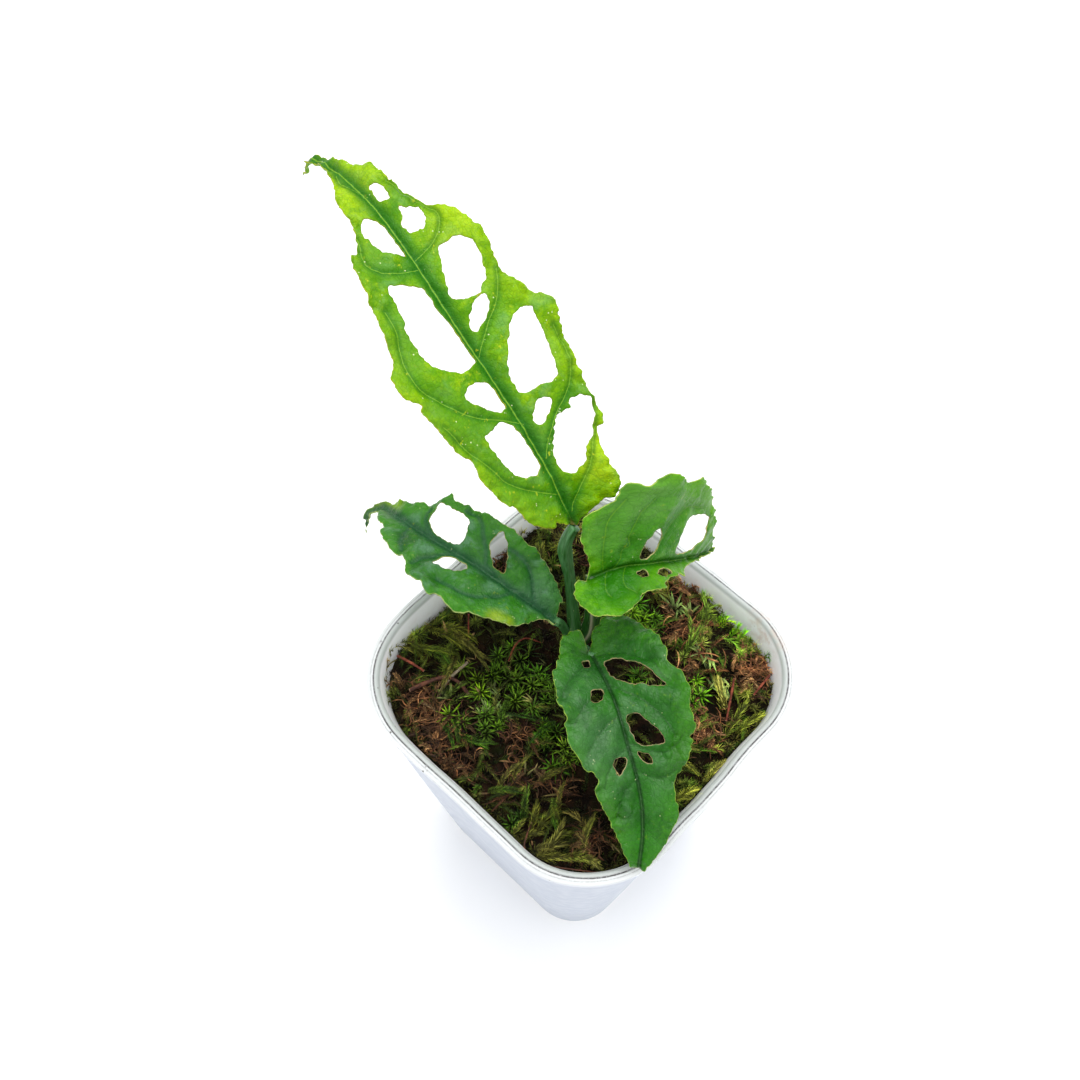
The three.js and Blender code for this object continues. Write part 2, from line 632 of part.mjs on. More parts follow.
// The moss layer's own body: relief above, flat below
function mossBed() {
  const [, edge] = potInside(0, MOSS.level, GAP);
  const outline = smoothLoop(edge.map((p) => [p.x, p.y]), MOSS.edgeStep);
  const corners = [];
  const faces = [];
  const count = outline.length;
  for (let r = 1; r <= MOSS.rings; r++)
    for (const p of outline) {
      const share = r / MOSS.rings;
      const [x, y] = [p.x * share, p.y * share];
      corners.push(new THREE.Vector3(x, y, mossTop(x, y, (1 - share) * p.length())));
    }
  for (const p of outline)
    corners.push(new THREE.Vector3(p.x * MOSS.footInset, p.y * MOSS.footInset, MOSS.bottom));
  const middle = corners.push(new THREE.Vector3(0, 0, mossTop(0, 0, POT.topHalf))) - 1;
  for (let r = 0; r < MOSS.rings; r++)
    for (let i = 0; i < count; i++) {
      const [a, b] = [r * count + i, r * count + ((i + 1) % count)];
      faces.push([a, a + count, b + count], [a, b + count, b]);
    }
  for (let i = 0; i < count; i++) faces.push([middle, i, (i + 1) % count]);
  const base = MOSS.rings * count;
  for (let i = 1; i + 1 < count; i++) faces.push([base, base + i + 1, base + i]);
  return closedMesh(corners, faces);
}

// A frond of feather moss: an arched blade, its edges cut into leaflets
function frondMesh([x, y, heading, length]) {
  const teeth = Math.round(length / FROND.toothPitch);
  const side = (sign) => {
    const list = [];
    for (let k = 0; k < teeth; k++) {
      const taper = Math.sin(Math.PI * Math.min(1, 0.25 + (0.75 * (k + 1)) / (teeth + 1)));
      list.push([(k * length) / teeth, sign * FROND.waist]);
      list.push([((k + FROND.toothReach) * length) / teeth, sign * FROND.halfWidth * taper]);
    }
    return list;
  };
  const loop = [...side(-1), [length * FROND.tipReach, 0], ...side(1).reverse()];
  const outline = loop.map(([s, t]) => new THREE.Vector2(s, t));
  const angle = toRadians(heading);
  const ahead = new THREE.Vector3(Math.cos(angle), Math.sin(angle), 0);
  const beside = new THREE.Vector3(-Math.sin(angle), Math.cos(angle), 0);
  const foot = mossTop(x, y) - 1;
  const place = (s, t, offset) => {
    const rise = FROND.arch * Math.sin((FROND.archTurn * s) / length) - FROND.sag * Math.abs(t);
    const middle = new THREE.Vector3(x, y, foot + rise + offset);
    return middle.addScaledVector(ahead, s).addScaledVector(beside, t);
  };
  return sheetMesh(
    meshFlat(outline, [], []),
    (p) => place(p.x, p.y, FROND.halfThickness),
    (p) => place(p.x, p.y, -FROND.halfThickness),
  );
}

// Starry moss shoots: needles that spread from one foot
function tuftMeshes(x, y) {
  const foot = new THREE.Vector3(x, y, mossTop(x, y) - TUFT.sink);
  const turn = 2 * Math.PI * random();
  return Array.from({ length: TUFT.needles }, (_, k) => {
    const angle = turn + (2 * Math.PI * (k + 0.5 * random())) / TUFT.needles;
    const lean = TUFT.lean + TUFT.leanSpread * random();
    const way = new THREE.Vector3(Math.cos(angle), Math.sin(angle), 0).multiplyScalar(Math.sin(lean));
    way.z = Math.cos(lean);
    const needle = new THREE.ConeGeometry(NEEDLE.radius, NEEDLE.length + NEEDLE.spread * random(), 3);
    needle.translate(0, needle.parameters.height / 2, 0);
    needle.applyQuaternion(new THREE.Quaternion().setFromUnitVectors(new THREE.Vector3(0, 1, 0), way));
    needle.translate(foot.x, foot.y, foot.z);
    return needle;
  });
}

// An upright block over a dry patch, with an uneven outline
function patchBlock({ x, y, long, wide, turn }, extra) {
  const ring = (z) =>
    Array.from({ length: PATCH.corners }, (_, k) => {
      const angle = (2 * Math.PI * k) / PATCH.corners;
      const uneven = 1 + PATCH.longWave * Math.sin(3 * angle + x) + PATCH.shortWave * Math.sin(5 * angle + y);
      const [a, b] = [(long + extra) * uneven * Math.cos(angle), (wide + extra) * uneven * Math.sin(angle)];
      return new THREE.Vector3(
        x + a * Math.cos(turn) - b * Math.sin(turn),
        y + a * Math.sin(turn) + b * Math.cos(turn),
        z,
      );
    });
  return solid(loft([ring(BELOW_MOSS), ring(ABOVE_MOSS)]));
}

const assembly = new THREE.Group();
function addPart(name, geometry, colour, roughness = 0.6) {
  const material = new THREE.MeshStandardMaterial({ color: colour, roughness, metalness: 0 });
  const mesh = new THREE.Mesh(geometry, material);
  mesh.name = name;
  assembly.add(mesh);
}

addPart("pot", potMesh(), COLOUR.pot, 0.4);
addPart("growing_medium", mediumMesh(), COLOUR.medium, 0.95);

// Stem, and petioles cut clear of it, of each other and of their blades
const stemPath = [
  [STEM.x, STEM.y, STEM.foot],
  [STEM.x, STEM.y, (STEM.foot + STEM.top) / 2],
  [STEM.x, STEM.y, STEM.top],
];
const stemRadii = [STEM.footRadius, STEM.footRadius * 0.95, STEM.topRadius];
addPart("stem", tube(stemPath, stemRadii, 12, 8), COLOUR.stem);
let taken = solid(tube(stemPath, stemRadii, 12, 8, GAP));
for (const [side, { radii, path }] of Object.entries(PETIOLES)) {
  const body = solid(tube(path, radii, 8, 14)).subtract(taken).subtract(solid(bladeMesh(LEAVES[side], GAP)));
  taken = taken.add(solid(tube(path, radii, 8, 14, GAP)));
  addPart("petiole_" + side, geometryOf(body), COLOUR.stem);
}
for (const [side, leaf] of Object.entries(LEAVES))
  addPart("leaf_" + side, bladeMesh(leaf), leaf.colour, 0.45);

// Sticks and roots in the moss
let clearance = stemHole(BELOW_MOSS, ABOVE_MOSS);
for (const [name, { radius, path }] of Object.entries(STICKS)) {
  const stick = (extra) => tube(path, [radius, radius * 0.8], 6, 3 * (path.length - 1), extra);
  addPart(name, stick(0), COLOUR.stick, 0.9);
  clearance = clearance.add(solid(stick(GAP + 0.1)));
}

// The moss layer, parted into living moss and dry patches
const bed = solid(mossBed());
let living = bed;
for (const frond of FRONDS) living = living.add(solid(frondMesh(frond)));
for (let row = -TUFT.reach; row <= TUFT.reach; row += TUFT.pitch)
  for (let column = -TUFT.reach; column <= TUFT.reach; column += TUFT.pitch) {
    const [x, y] = [row + TUFT.pitch * (random() - 0.5), column + TUFT.pitch * (random() - 0.5)];
    for (const needle of tuftMeshes(x, y)) living = living.add(solid(needle));
  }
const room = solid(loft(potInside(BELOW_MOSS, ABOVE_MOSS, GAP)));
for (const [name, patch] of Object.entries(DRY_PATCHES)) {
  addPart(name, geometryOf(bed.intersect(patchBlock(patch, 0)).subtract(clearance)), COLOUR.dry, 0.95);
  living = living.subtract(patchBlock(patch, GAP));
}
addPart("moss", geometryOf(living.intersect(room).subtract(clearance)), COLOUR.moss, 0.95);

export default assembly;
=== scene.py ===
# Potted monstera obliqua: the finish of every surface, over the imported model. Sizes are in
# millimetres in the tables and are turned to metres when a mesh is made.
import bpy
import math
import numpy as np
from mathutils import Matrix, Vector
from mathutils.geometry import delaunay_2d_cdt


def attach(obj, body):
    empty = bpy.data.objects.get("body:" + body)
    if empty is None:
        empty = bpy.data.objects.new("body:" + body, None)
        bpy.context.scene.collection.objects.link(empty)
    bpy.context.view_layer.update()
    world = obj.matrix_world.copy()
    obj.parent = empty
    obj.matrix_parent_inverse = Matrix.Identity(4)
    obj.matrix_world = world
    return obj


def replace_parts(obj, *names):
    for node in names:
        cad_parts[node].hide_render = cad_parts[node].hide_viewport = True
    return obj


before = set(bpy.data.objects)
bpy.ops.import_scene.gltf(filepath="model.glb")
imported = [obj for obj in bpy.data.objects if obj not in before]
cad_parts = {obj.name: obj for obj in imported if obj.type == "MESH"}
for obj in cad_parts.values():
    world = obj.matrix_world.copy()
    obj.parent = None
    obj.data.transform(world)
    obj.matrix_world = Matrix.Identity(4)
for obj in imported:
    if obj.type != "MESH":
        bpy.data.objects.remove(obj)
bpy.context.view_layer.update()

MM = 0.001
GOLDEN = math.pi * (3 - math.sqrt(5))

# The pot and what fills it, as in the part's source, but with a rim that lies 0.5 further back,
# a lip that reaches a little less far out, and a flat band inside the rim
POT = {
    "height": 110, "base_half": 34.3, "base_corner": 15.3, "top_half": 49.1, "top_corner": 26.8, "wall": 1.1,
    "band": 2.1, "rim_shift": 0.5, "floor": 2, "lip_out": 0.95, "lip_drop": 5.5, "drain_radius": 3.5,
    "drain_place": 15,
}
# The rim's crest from the lip inwards, as depth below the top and way out: a dark groove, then a band
CREST = (
    (0.34, 0.5), (0.22, 0.05), (0.2, -0.05), (0.26, -0.12), (0.17, -0.2), (0.1, -0.45), (0.08, -0.68),
    (0.14, -0.78), (0.42, -0.85), (0.46, -0.92), (0.42, -0.99), (0.12, -1.06), (0.02, -1.2), (0, -1.45),
    (0.06, -1.8), (0.25, -2.1), (0.7, -2.35), (1.5, -2.55), (3, -2.75), (5, -2.95),
)
# Where the lip stands out: x, y, reach, share
BULGES = ((30, 46, 9, 1.0), (-46, -30, 7, 0.6))
MOSS = {"bottom": 96.4, "level": 102.4, "lump": 3, "lumps": 80, "edge_drop": 2.2}
# Mounds of moss: x, y, reach, height
MOUNDS = [(-33, 33, 11, 4.5), (-12, 40, 7, 2.5)]
# The same for growth at the front and left corners, which the part's source leaves out
HEAPED = [(27, -41, 9, 2.6), (-42, -24, 8, 2.0)]
STEM = {"x": -8, "y": 6.5, "foot": 88, "top": 113, "foot_radius": 3.4, "top_radius": 2.2}

# The four leaves, as in the part's source: rib in space, roll and fold in degrees, edges and
# holes in the flat blade, as way along the rib and way across. veins are the side veins, from the
# rib outwards, left half negative. groove and depth are the rib's furrow, raised the line in it.
LEAVES = {
    "back": {
        "rib": [
            (-16, 14, 152), (-30, 16, 167), (-44, 17, 179), (-61, 18.5, 190), (-77.5, 21.5, 197),
            (-94, 24.5, 201), (-111.5, 27, 200), (-120, 28.5, 197), (-125, 28.5, 194), (-129, 28.5, 187),
        ],
        "roll": (0, 0, 0), "fold_left": (12, 10, 10), "fold_right": (20, 14, 10), "ruffle": 0.7,
        "quilt": 0.9, "pitch": 17, "groove": 0.8, "depth": 0.5, "raised": 0.26,
        "right": [
            (0, 0.5), (1.5, 3), (3.5, 9), (3, 12), (4.5, 14), (7.5, 15.5), (12.5, 14.5), (19.5, 16),
            (21, 18.5), (29.5, 19), (42, 21), (50, 23), (53, 22.5), (55.5, 20), (65, 17), (76, 18),
            (84.5, 14.5), (88, 11), (95, 8.5), (106, 7.5), (109.5, 4.5), (120, 1.6), (127, 1.2),
        ],
        "left": [
            (1.5, 1.5), (4, 4.5), (4, 6.5), (8.5, 11.5), (14.5, 13.5), (17.5, 16), (26, 18.5), (31, 17.5),
            (34, 19.5), (44, 21), (47, 21.5), (48, 20.5), (52, 23.5), (56.5, 22.5), (59, 19.5), (67.5, 17),
            (79.5, 15), (84.5, 13.5), (86, 11), (92, 8), (99.5, 7.5), (108, 3.5), (114, 1.8), (127, 1),
        ],
        "holes": [
            [(101, 2.8), (101, 3.6), (100.2, 4.6), (98.9, 4.8), (96.6, 4.9), (95.1, 4.6), (94.3, 3.9),
             (95.6, 2), (97.1, 1.9), (98.8, 2.2)],
            [(90.8, 4.8), (89.9, 6.1), (89.8, 7), (88.7, 8.6), (87.5, 8.3), (86.4, 8.5), (84.6, 8),
             (82.7, 6.2), (83.3, 5.5), (83.1, 4.8), (83.6, 3.5), (84.4, 2.9), (86.1, 2.5), (87.3, 2.8),
             (88.4, 4), (89.7, 4.1)],
            [(90.7, -6.7), (91.9, -5.7), (91.9, -4.5), (90.9, -2.6), (88.6, -1.2), (84.7, -1), (79.6, -0.9),
             (79.9, -1.8), (81, -3.7), (82.1, -5.7), (84, -6.6), (86.3, -7.3), (88.7, -7.5)],
            [(73.2, -10.2), (74, -8.9), (72.9, -6.8), (71, -3.2), (69.4, -2), (63.4, -1.9), (60, -1),
             (54.7, -0.9), (49.4, -1), (48.7, -2.8), (48.6, -5.1), (49.5, -7.7), (51.4, -10.1),
             (54.2, -12.6), (59.3, -12.8), (62.4, -12.7), (64.4, -11.6), (66.6, -11.3), (69, -10.8),
             (71.1, -10.8)],
            [(77.3, 7.5), (77, 9.4), (77.2, 10.9), (76.6, 12.4), (75.6, 13.3), (71.8, 14.3), (66.7, 13.1),
             (64.4, 12.2), (64, 11.6), (63.9, 10.5), (62.3, 9.2), (62.7, 5.5), (64.6, 2.9), (66, 2.7),
             (71.4, 4.3), (75.9, 6.2)],
            [(61.8, 9.3), (61.2, 10), (59.7, 10), (58, 9), (56.3, 6.8), (54.9, 3.2), (56.2, 2.5),
             (58.4, 3.5), (60.8, 6)],
            [(52.4, 11.4), (53.6, 14.5), (52.8, 17.3), (49.1, 16.9), (43.4, 16.3), (38.6, 14.8),
             (36.1, 14.1), (35.3, 12.6), (35.2, 11.4), (36.1, 9), (36, 6.8), (36.7, 4), (38.8, 3.5),
             (43.6, 4.3), (46.4, 6.4), (49.7, 9)],
            [(44.4, -9.4), (45.2, -5.8), (43.4, -2), (41, -1.3), (36.2, -1.1), (35.8, -2), (36, -3.4),
             (37.6, -5.5), (40.2, -7.7), (42.5, -9.2)],
            [(33.3, -11.2), (33.8, -10), (33.7, -7.9), (34, -5), (32.4, -3.2), (30.2, -2), (24, -1.4),
             (19.7, -1.3), (18.3, -2.2), (18.1, -4.4), (20.4, -8.7), (23.2, -9.9), (26.5, -11),
             (30.4, -11.5)],
            [(32.6, 5.4), (33.3, 6.8), (32.6, 8.6), (31.4, 9.5), (29.4, 8), (27.7, 4.8), (28.6, 3.3),
             (30.2, 3.1)],
            [(28.9, 14.3), (27.3, 18), (24, 17.4), (20.2, 15), (18.7, 14.3), (18.3, 12.6), (17.2, 11),
             (14.6, 9.5), (13.8, 7), (13, 6.3), (13.9, 4.3), (15.2, 3.2), (17.5, 2.9), (20.6, 3.6),
             (26.1, 7.2), (27.4, 9.6), (27.2, 12), (28.5, 12.9)],
        ],
        "veins": [
            [(75, 0), (75.5, -3), (76.5, -6), (78, -9), (80.5, -11), (83.5, -11), (86, -10), (89, -9)],
            [(30, 0.5), (34, -4), (37.5, -9), (40.5, -12), (45, -15), (48.5, -17), (52, -18.5), (56.5, -18),
             (61, -16), (64, -14.5), (69, -14)],
            [(10, -0.5), (13.5, -5), (17.5, -9.5), (21.5, -12.5), (26, -14), (29.5, -15.5), (33.5, -17),
             (38, -18), (41, -19)],
            [(49.5, 0.5), (51, 2), (53, 4.5), (55.5, 7.5), (58, 11), (61, 13.5), (65.5, 16)],
            [(19.5, 1), (22.5, 3), (26, 6.5), (28.5, 10), (30.5, 13.5), (33, 16.5), (37, 18.5), (41, 19.5),
             (46, 20)],
            [(4, 1), (6.5, 2.5), (9.5, 6), (13, 10), (17, 13), (19.5, 15), (23.5, 17), (26.5, 18.5)],
            [(77.5, 0.5), (78, 3.5), (79, 6.5), (81, 9.5), (84.5, 11.5), (88.5, 10), (93.5, 8), (100, 7.5)],
            [(98.5, 0.5), (103.5, -1), (107, -2), (110.5, -1)],
        ],
    },
    "left": {
        "rib": [
            (-10.5, 1.5, 124), (-22, -2.5, 131), (-34.5, -4.5, 133), (-48.5, -6, 131), (-63.5, -6, 126),
            (-71.5, -5, 121), (-75.5, -7, 118), (-76, -9, 114.5), (-74.5, -11, 110.5),
        ],
        "roll": (0, 0, 0), "fold_left": (14, 14, 10), "fold_right": (14, 14, 10), "ruffle": 0.7,
        "quilt": 1.0, "pitch": 11, "groove": 0.7, "depth": 0.5, "raised": 0.1,
        "right": [
            (0, 0.8), (2, 4), (1.5, 5.5), (7.5, 9), (13.5, 12), (22.5, 13), (35, 13.5), (42, 12.5),
            (47, 13), (48.5, 10.5), (54, 6.5), (60.5, 4.5), (67, 2), (73, 1.2),
        ],
        "left": [
            (0, 0.8), (4.5, 2.5), (11, 10), (15, 11.5), (19.5, 14.5), (23.5, 16), (28.5, 15), (30.5, 16),
            (33.5, 14.5), (38.5, 14), (42, 10.5), (47, 10.5), (54.5, 8), (55.5, 6), (59, 5), (62, 4.2),
            (66, 1.8), (73, 1.2),
        ],
        "holes": [
            [(47, 4), (48, 8.5), (46, 9.5), (37, 10), (34.5, 7), (34, 2.5), (42, 1.8)],
            [(27, 7), (26, 11), (22.5, 8.5), (19.5, 3), (22, 2.2), (24, 3.5)],
            [(35, -7), (35.5, -4.5), (33.5, -2), (28, -2), (29, -5.5)],
        ],
        "veins": [
            [(21.5, 0.5), (24.5, 1.5), (27, 5), (30, 8), (32, 10.5), (35, 12), (38.5, 11.5)],
            [(7.5, 0), (10, 3), (12.5, 6), (15.5, 8), (20, 9), (22.5, 8.5)],
            [(41.5, 0), (46, 2), (49, 4), (50, 7.5)],
            [(14.5, 0.5), (16, -3), (18.5, -6), (21, -8.5), (24, -10), (27, -10.5), (29.5, -10.5),
             (31.5, -10.5)],
            [(31.5, 0), (35.5, -2), (37.5, -5), (39.5, -8), (40, -10.5)],
            [(51, 0), (50.5, -2.5), (48.5, -6), (45.5, -8.5)],
        ],
    },
    "right": {
        "rib": [
            (-5, 8, 147), (-1.5, 15.5, 147), (2.5, 24, 143), (4.5, 33.5, 135), (5, 42, 127), (4.5, 52, 118),
        ],
        "roll": (-40, -45, -50), "fold_left": (20, 25, 30), "fold_right": (50, 45, 40), "ruffle": 0.6,
        "quilt": 0.9, "pitch": 11, "groove": 0.7, "depth": 0.45, "raised": 0.2,
        "right": [
            (-1.5, 0.8), (-4, -0.4), (-6, 4.5), (-4, 11), (-1.5, 12), (2, 13.5), (5.5, 12.5), (12.5, 8.5),
            (17, 8), (18, 6.5), (24, 4.5), (25.5, 5.5), (31, 2.5), (41.5, 1.2), (54, 0.6),
        ],
        "left": [
            (0.5, 3.5), (-0.5, 12.5), (2.5, 17.5), (7, 19.5), (8.5, 24), (11.5, 23), (15.5, 26),
            (21.5, 22.5), (26.5, 23.5), (36, 18), (43, 11.5), (48.5, 4.5), (54, 0.8),
        ],
        "holes": [
            [(38, -11.5), (32.5, -13), (26, -11.5), (25.5, -3.5), (29.5, -1.8), (37, -3.8), (39.5, -6.5)],
            [(16, -10.5), (18.5, -6.5), (17.5, -3.5), (16, -1.8), (13.5, -1.8), (13.2, -6)],
            [(11, 3), (13.5, 1.8), (14.5, 2.8), (13.5, 4)],
            [(17, 3.5), (20.5, 2), (21.5, 3.5), (19, 5)],
        ],
        "veins": [
            [(3.5, -0.5), (4.5, -6), (5.5, -10.5), (6, -13.5), (7, -16), (8, -18), (8.5, -19.5)],
            [(6, 0), (8, -2.5), (8.5, -5), (10, -6), (9.5, -9), (10.5, -12), (11, -15), (12, -17),
             (13.5, -19)],
            [(17, -1), (18.5, -4), (19, -7), (19.5, -9), (20.5, -11.5), (23, -14), (26, -15.5), (33, -15)],
            [(5, -0.5), (3, 2.5), (2, 5.5), (2.5, 8)],
            [(10, 0), (7.5, 3), (7, 6.5), (9, 9)],
        ],
    },
    "front": {
        "rib": [
            (5.5, -2, 131), (17.5, -8, 135), (28, -14, 132), (37, -19, 125.5), (43, -24, 119),
            (48, -30.5, 113),
        ],
        "roll": (0, 0, 0), "fold_left": (12, 12, 8), "fold_right": (12, 12, 8), "ruffle": 0.7, "quilt": 1.1,
        "pitch": 11, "groove": 0.35, "depth": 0.3, "raised": 0.05,
        "right": [
            (-2, 0.5), (-7, 0), (-8.5, 1), (-8.5, 3.5), (-6.5, 6), (1, 10), (3.5, 12), (10, 13.5),
            (13.5, 14.5), (15, 13.5), (23, 15), (25.5, 13.5), (29, 12.5), (30, 11), (32, 10), (35, 11.5),
            (42, 9.5), (50.5, 6.5), (57, 3), (58.5, 2.4),
        ],
        "left": [
            (-2.5, 0.8), (-7, 3.2), (-8.5, 5.5), (-9, 8), (-4.5, 13.5), (-1, 15), (5, 17), (10, 17),
            (12, 16), (14.5, 18), (18, 18.5), (22, 17.5), (27, 17), (29, 15.5), (30.5, 15.5), (35, 12),
            (39, 8.5), (44.5, 9), (49.5, 6.5), (58.5, 2),
        ],
        "holes": [
            [(4.5, -1.8), (4, -3), (7, -7.5), (15, -13), (16, -12), (13.5, -6), (11, -2.8), (8, -1.8)],
            [(20, -1.8), (20.5, -4.5), (24, -7.5), (27.5, -9), (28.5, -7.5), (27.5, -3.2), (24, -1.8)],
            [(29, -2), (30.5, -4.5), (32.5, -4.5), (31.5, -2.6)],
            [(30, 5), (29, 3.5), (29.5, 1.6), (31, 1.8), (33, 4.5)],
            [(13, 5.5), (11.5, 4), (12, 1.8), (14.5, 3), (15, 5.4)],
            [(1.5, 3.2), (2, 1.6), (4, 2.4), (3.2, 3.6)],
        ],
        "veins": [
            [(0, 0), (1.5, -3), (4, -7.5), (7.5, -10.5), (10, -12.5), (14, -13.5), (15.5, -15)],
            [(10, 0), (11, -0.5), (14, -3), (16, -5.5), (19, -8), (22, -10), (25.5, -11.5), (28, -12)],
            [(26, 0), (28.5, -3.5), (30.5, -7), (30.5, -10.5), (27.5, -14.5)],
            [(32.5, 0), (35.5, -3), (36.5, -6.5), (35.5, -10)],
            [(2.5, 0), (3, 3.5), (6.5, 8.5), (11.5, 12.5)],
            [(11.5, 0), (13, 4.5), (16, 9), (19, 12)],
            [(19.5, 0), (21, 4), (23.5, 8), (26.5, 11)],
            [(27.5, 0), (28.5, 3.5), (31.5, 7), (35, 9)],
            [(35.5, 0), (37, 3), (40.5, 5.5), (44.5, 6.5)],
        ],
        "blisters": [(42.6, 4.5, 2.1, 2.0), (31.1, -8.9, 1.5, 1.2), (30, -12.3, 2.2, 1)],
    },
}
# Each petiole: radii along it, the side its groove faces, and its path
PETIOLES = {
    "back": {"radii": (2, 1.5, 1.45, 1.9, 1.5), "groove": (1, 0, 0.2), "path": [
        (-8, 6.5, 113.4), (-12, 9.5, 122), (-14, 10.5, 131), (-16, 11, 138.5), (-16.6, 11, 145),
        (-16.4, 12.5, 150), (-16, 14, 152),
    ]},
    "left": {"radii": (1.6, 1.2, 1.2), "groove": (0.2, -0.4, 1), "path": [
        (-8, 6.5, 106.5), (-9.6, 5.2, 113), (-10.6, 3.8, 119), (-10.5, 1.5, 124),
    ]},
    "right": {"radii": (2.6, 2.2, 1.3), "groove": (-0.4, -1, 0.3), "path": [
        (-7.5, 7, 107.5), (-5, 9.5, 116), (-5.2, 10.4, 126), (-5.4, 9.4, 137), (-5, 8, 147),
    ]},
    "front": {"radii": (1.8, 1.3, 1.3), "groove": (0, 0.3, 1), "path": [
        (-7.5, 6, 107), (-2.5, 3.5, 116), (2, 1, 124), (5.5, -2, 131),
    ]},
}
# Each stick: radius and path
STICKS = {
    "stick_left": (0.9, [(-42, -29.8, 104.5), (-37, -28.8, 105.4), (-33, -28, 105)]),
    "root_left": (0.9, [
        (-32.5, -34, 103), (-30, -28.6, 104.2), (-27.5, -24.6, 104.2), (-24, -23.2, 103.8),
        (-20, -23.5, 102.6),
    ]),
    "stick_pale": (0.8, [(-24.6, -31, 104.4), (-25.4, -26, 106.9), (-25.5, -18.5, 106.4)]),
    "twig_centre": (0.55, [(-18.6, -9, 103), (-19.6, -5.5, 106), (-19, -1.8, 106.4), (-15.5, 1.5, 103.5)]),
    "stick_small": (0.5, [(-36, -7.4, 106.5), (-33.5, -10, 105.5), (-31, -12.6, 104)]),
    "twig_front": (0.5, [
        (17.5, -37.5, 104), (19.5, -41.5, 106), (21.5, -44.2, 106.6), (25.5, -44.6, 106.2),
        (29.5, -42.6, 106), (34, -39.6, 106.4), (39, -35.4, 105),
    ]),
    "stick_right": (0.8, [(31, 30, 104), (34, 24.6, 105.8), (37.4, 18.6, 104.5)]),
    "stick_right_back": (0.8, [(37.4, 38, 103.4), (37.8, 34, 104.6), (38, 30, 104)]),
}


# Numbers and shapes
def srgb(red, green, blue):
    """Linear colour of a screen colour given from 0 to 255."""
    share = [c / 255 for c in (red, green, blue)]
    return tuple(((c + 0.055) / 1.055) ** 2.4 if c > 0.04 else c / 12.92 for c in share) + (1.0,)


def unit(vectors):
    return vectors / np.maximum(np.linalg.norm(vectors, axis=-1, keepdims=True), 1e-9)


def bell(distance, reach):
    """1 at no distance, a third at the reach, nearly nothing at twice the reach."""
    return np.exp(-((distance / reach) ** 2))


def mulberry(seed):
    """The part's small seeded source of random numbers from 0 to 1."""
    mask = 0xFFFFFFFF
    state = seed

    def draw():
        nonlocal state
        state = (state + 0x6D2B79F5) & mask
        t = ((state ^ (state >> 15)) * (1 | state)) & mask
        t = ((t + (((t ^ (t >> 7)) * (61 | t)) & mask)) & mask) ^ t
        return (t ^ (t >> 14)) / 4294967296

    return draw


def ripples(points, pitch, seed, waves=28):
    """Smooth seeded noise, about -1 to 1, with features of about the pitch."""
    rng = np.random.default_rng(seed)
    ways = unit(rng.normal(size=(waves, points.shape[-1]))) * rng.uniform(0.6, 1.7, (waves, 1))
    phase = rng.uniform(0, 2 * math.pi, waves)
    return np.sin(points @ (ways.T * 2 * math.pi / pitch) + phase).sum(-1) / math.sqrt(waves)


def catmull(points, closed=False, each=24):
    """A smooth line through the given points."""
    p = np.asarray(points, float)
    if closed:
        p = np.vstack([p[-1], p, p[:2]])
    else:
        p = np.vstack([2 * p[0] - p[1], p, 2 * p[-1] - p[-2]])
    w = np.linspace(0, 1, each, endpoint=False)[:, None]
    runs = []
    for a, b, c, d in zip(p, p[1:], p[2:], p[3:]):
        start, end = (c - a) / 2, (d - b) / 2
        cubed, squared = 2 * b - 2 * c + start + end, 3 * c - 3 * b - 2 * start - end
        runs.append(cubed * w**3 + squared * w**2 + start * w + b)
    if not closed:
        runs.append(p[-2:-1])
    return np.vstack(runs)


def spaced(line, step=None, count=None, closed=False):
    """The line again, with even steps along it."""
    if closed:
        line = np.vstack([line, line[:1]])
    far = np.r_[0, np.cumsum(np.linalg.norm(np.diff(line, axis=0), axis=1))]
    count = count or max(3, round(far[-1] / step) + 1)
    at = np.linspace(0, far[-1], count)
    out = np.stack([np.interp(at, far, line[:, k]) for k in range(line.shape[1])], 1)
    return out[:-1] if closed else out


def distance_to(points, line):
    """Distance of each flat point from an open line of flat points."""
    a, b = line[:-1], line[1:]
    run = b - a
    size = np.maximum((run**2).sum(1), 1e-12)
    out = np.empty(len(points))
    for k in range(0, len(points), 1500):
        gap = points[k : k + 1500, None] - a
        share = np.clip((gap * run).sum(2) / size, 0, 1)
        out[k : k + 1500] = np.sqrt((((gap - share[..., None] * run) ** 2).sum(2)).min(1))
    return out


def inside(points, loop):
    """Whether each flat point is inside a closed loop."""
    x, y = points[:, 0:1], points[:, 1:2]
    a, b = loop, np.roll(loop, 1, 0)
    crosses = (a[:, 1] > y) != (b[:, 1] > y)
    rise = np.where(b[:, 1] == a[:, 1], 1e-9, b[:, 1] - a[:, 1])
    return (crosses & (x < (b[:, 0] - a[:, 0]) * (y - a[:, 1]) / rise + a[:, 0])).sum(1) % 2 == 1


def within(points, loops):
    """Whether each flat point is inside the first loop and outside the others."""
    keep = inside(points, loops[0])
    for loop in loops[1:]:
        keep &= ~inside(points, loop)
    return keep


def loop_edges(loops):
    """Edges of closed loops whose points follow each other in one list."""
    edges, start = [], 0
    for loop in loops:
        edges += [(start + i, start + (i + 1) % len(loop)) for i in range(len(loop))]
        start += len(loop)
    return edges


def anticlockwise(points, faces):
    """The flat triangles, turned where they run clockwise."""
    a, b, c = (points[faces[:, k]] for k in range(3))
    size = (b - a)[:, 0] * (c - a)[:, 1] - (b - a)[:, 1] * (c - a)[:, 0]
    return np.where((size < 0)[:, None], faces[:, ::-1], faces)


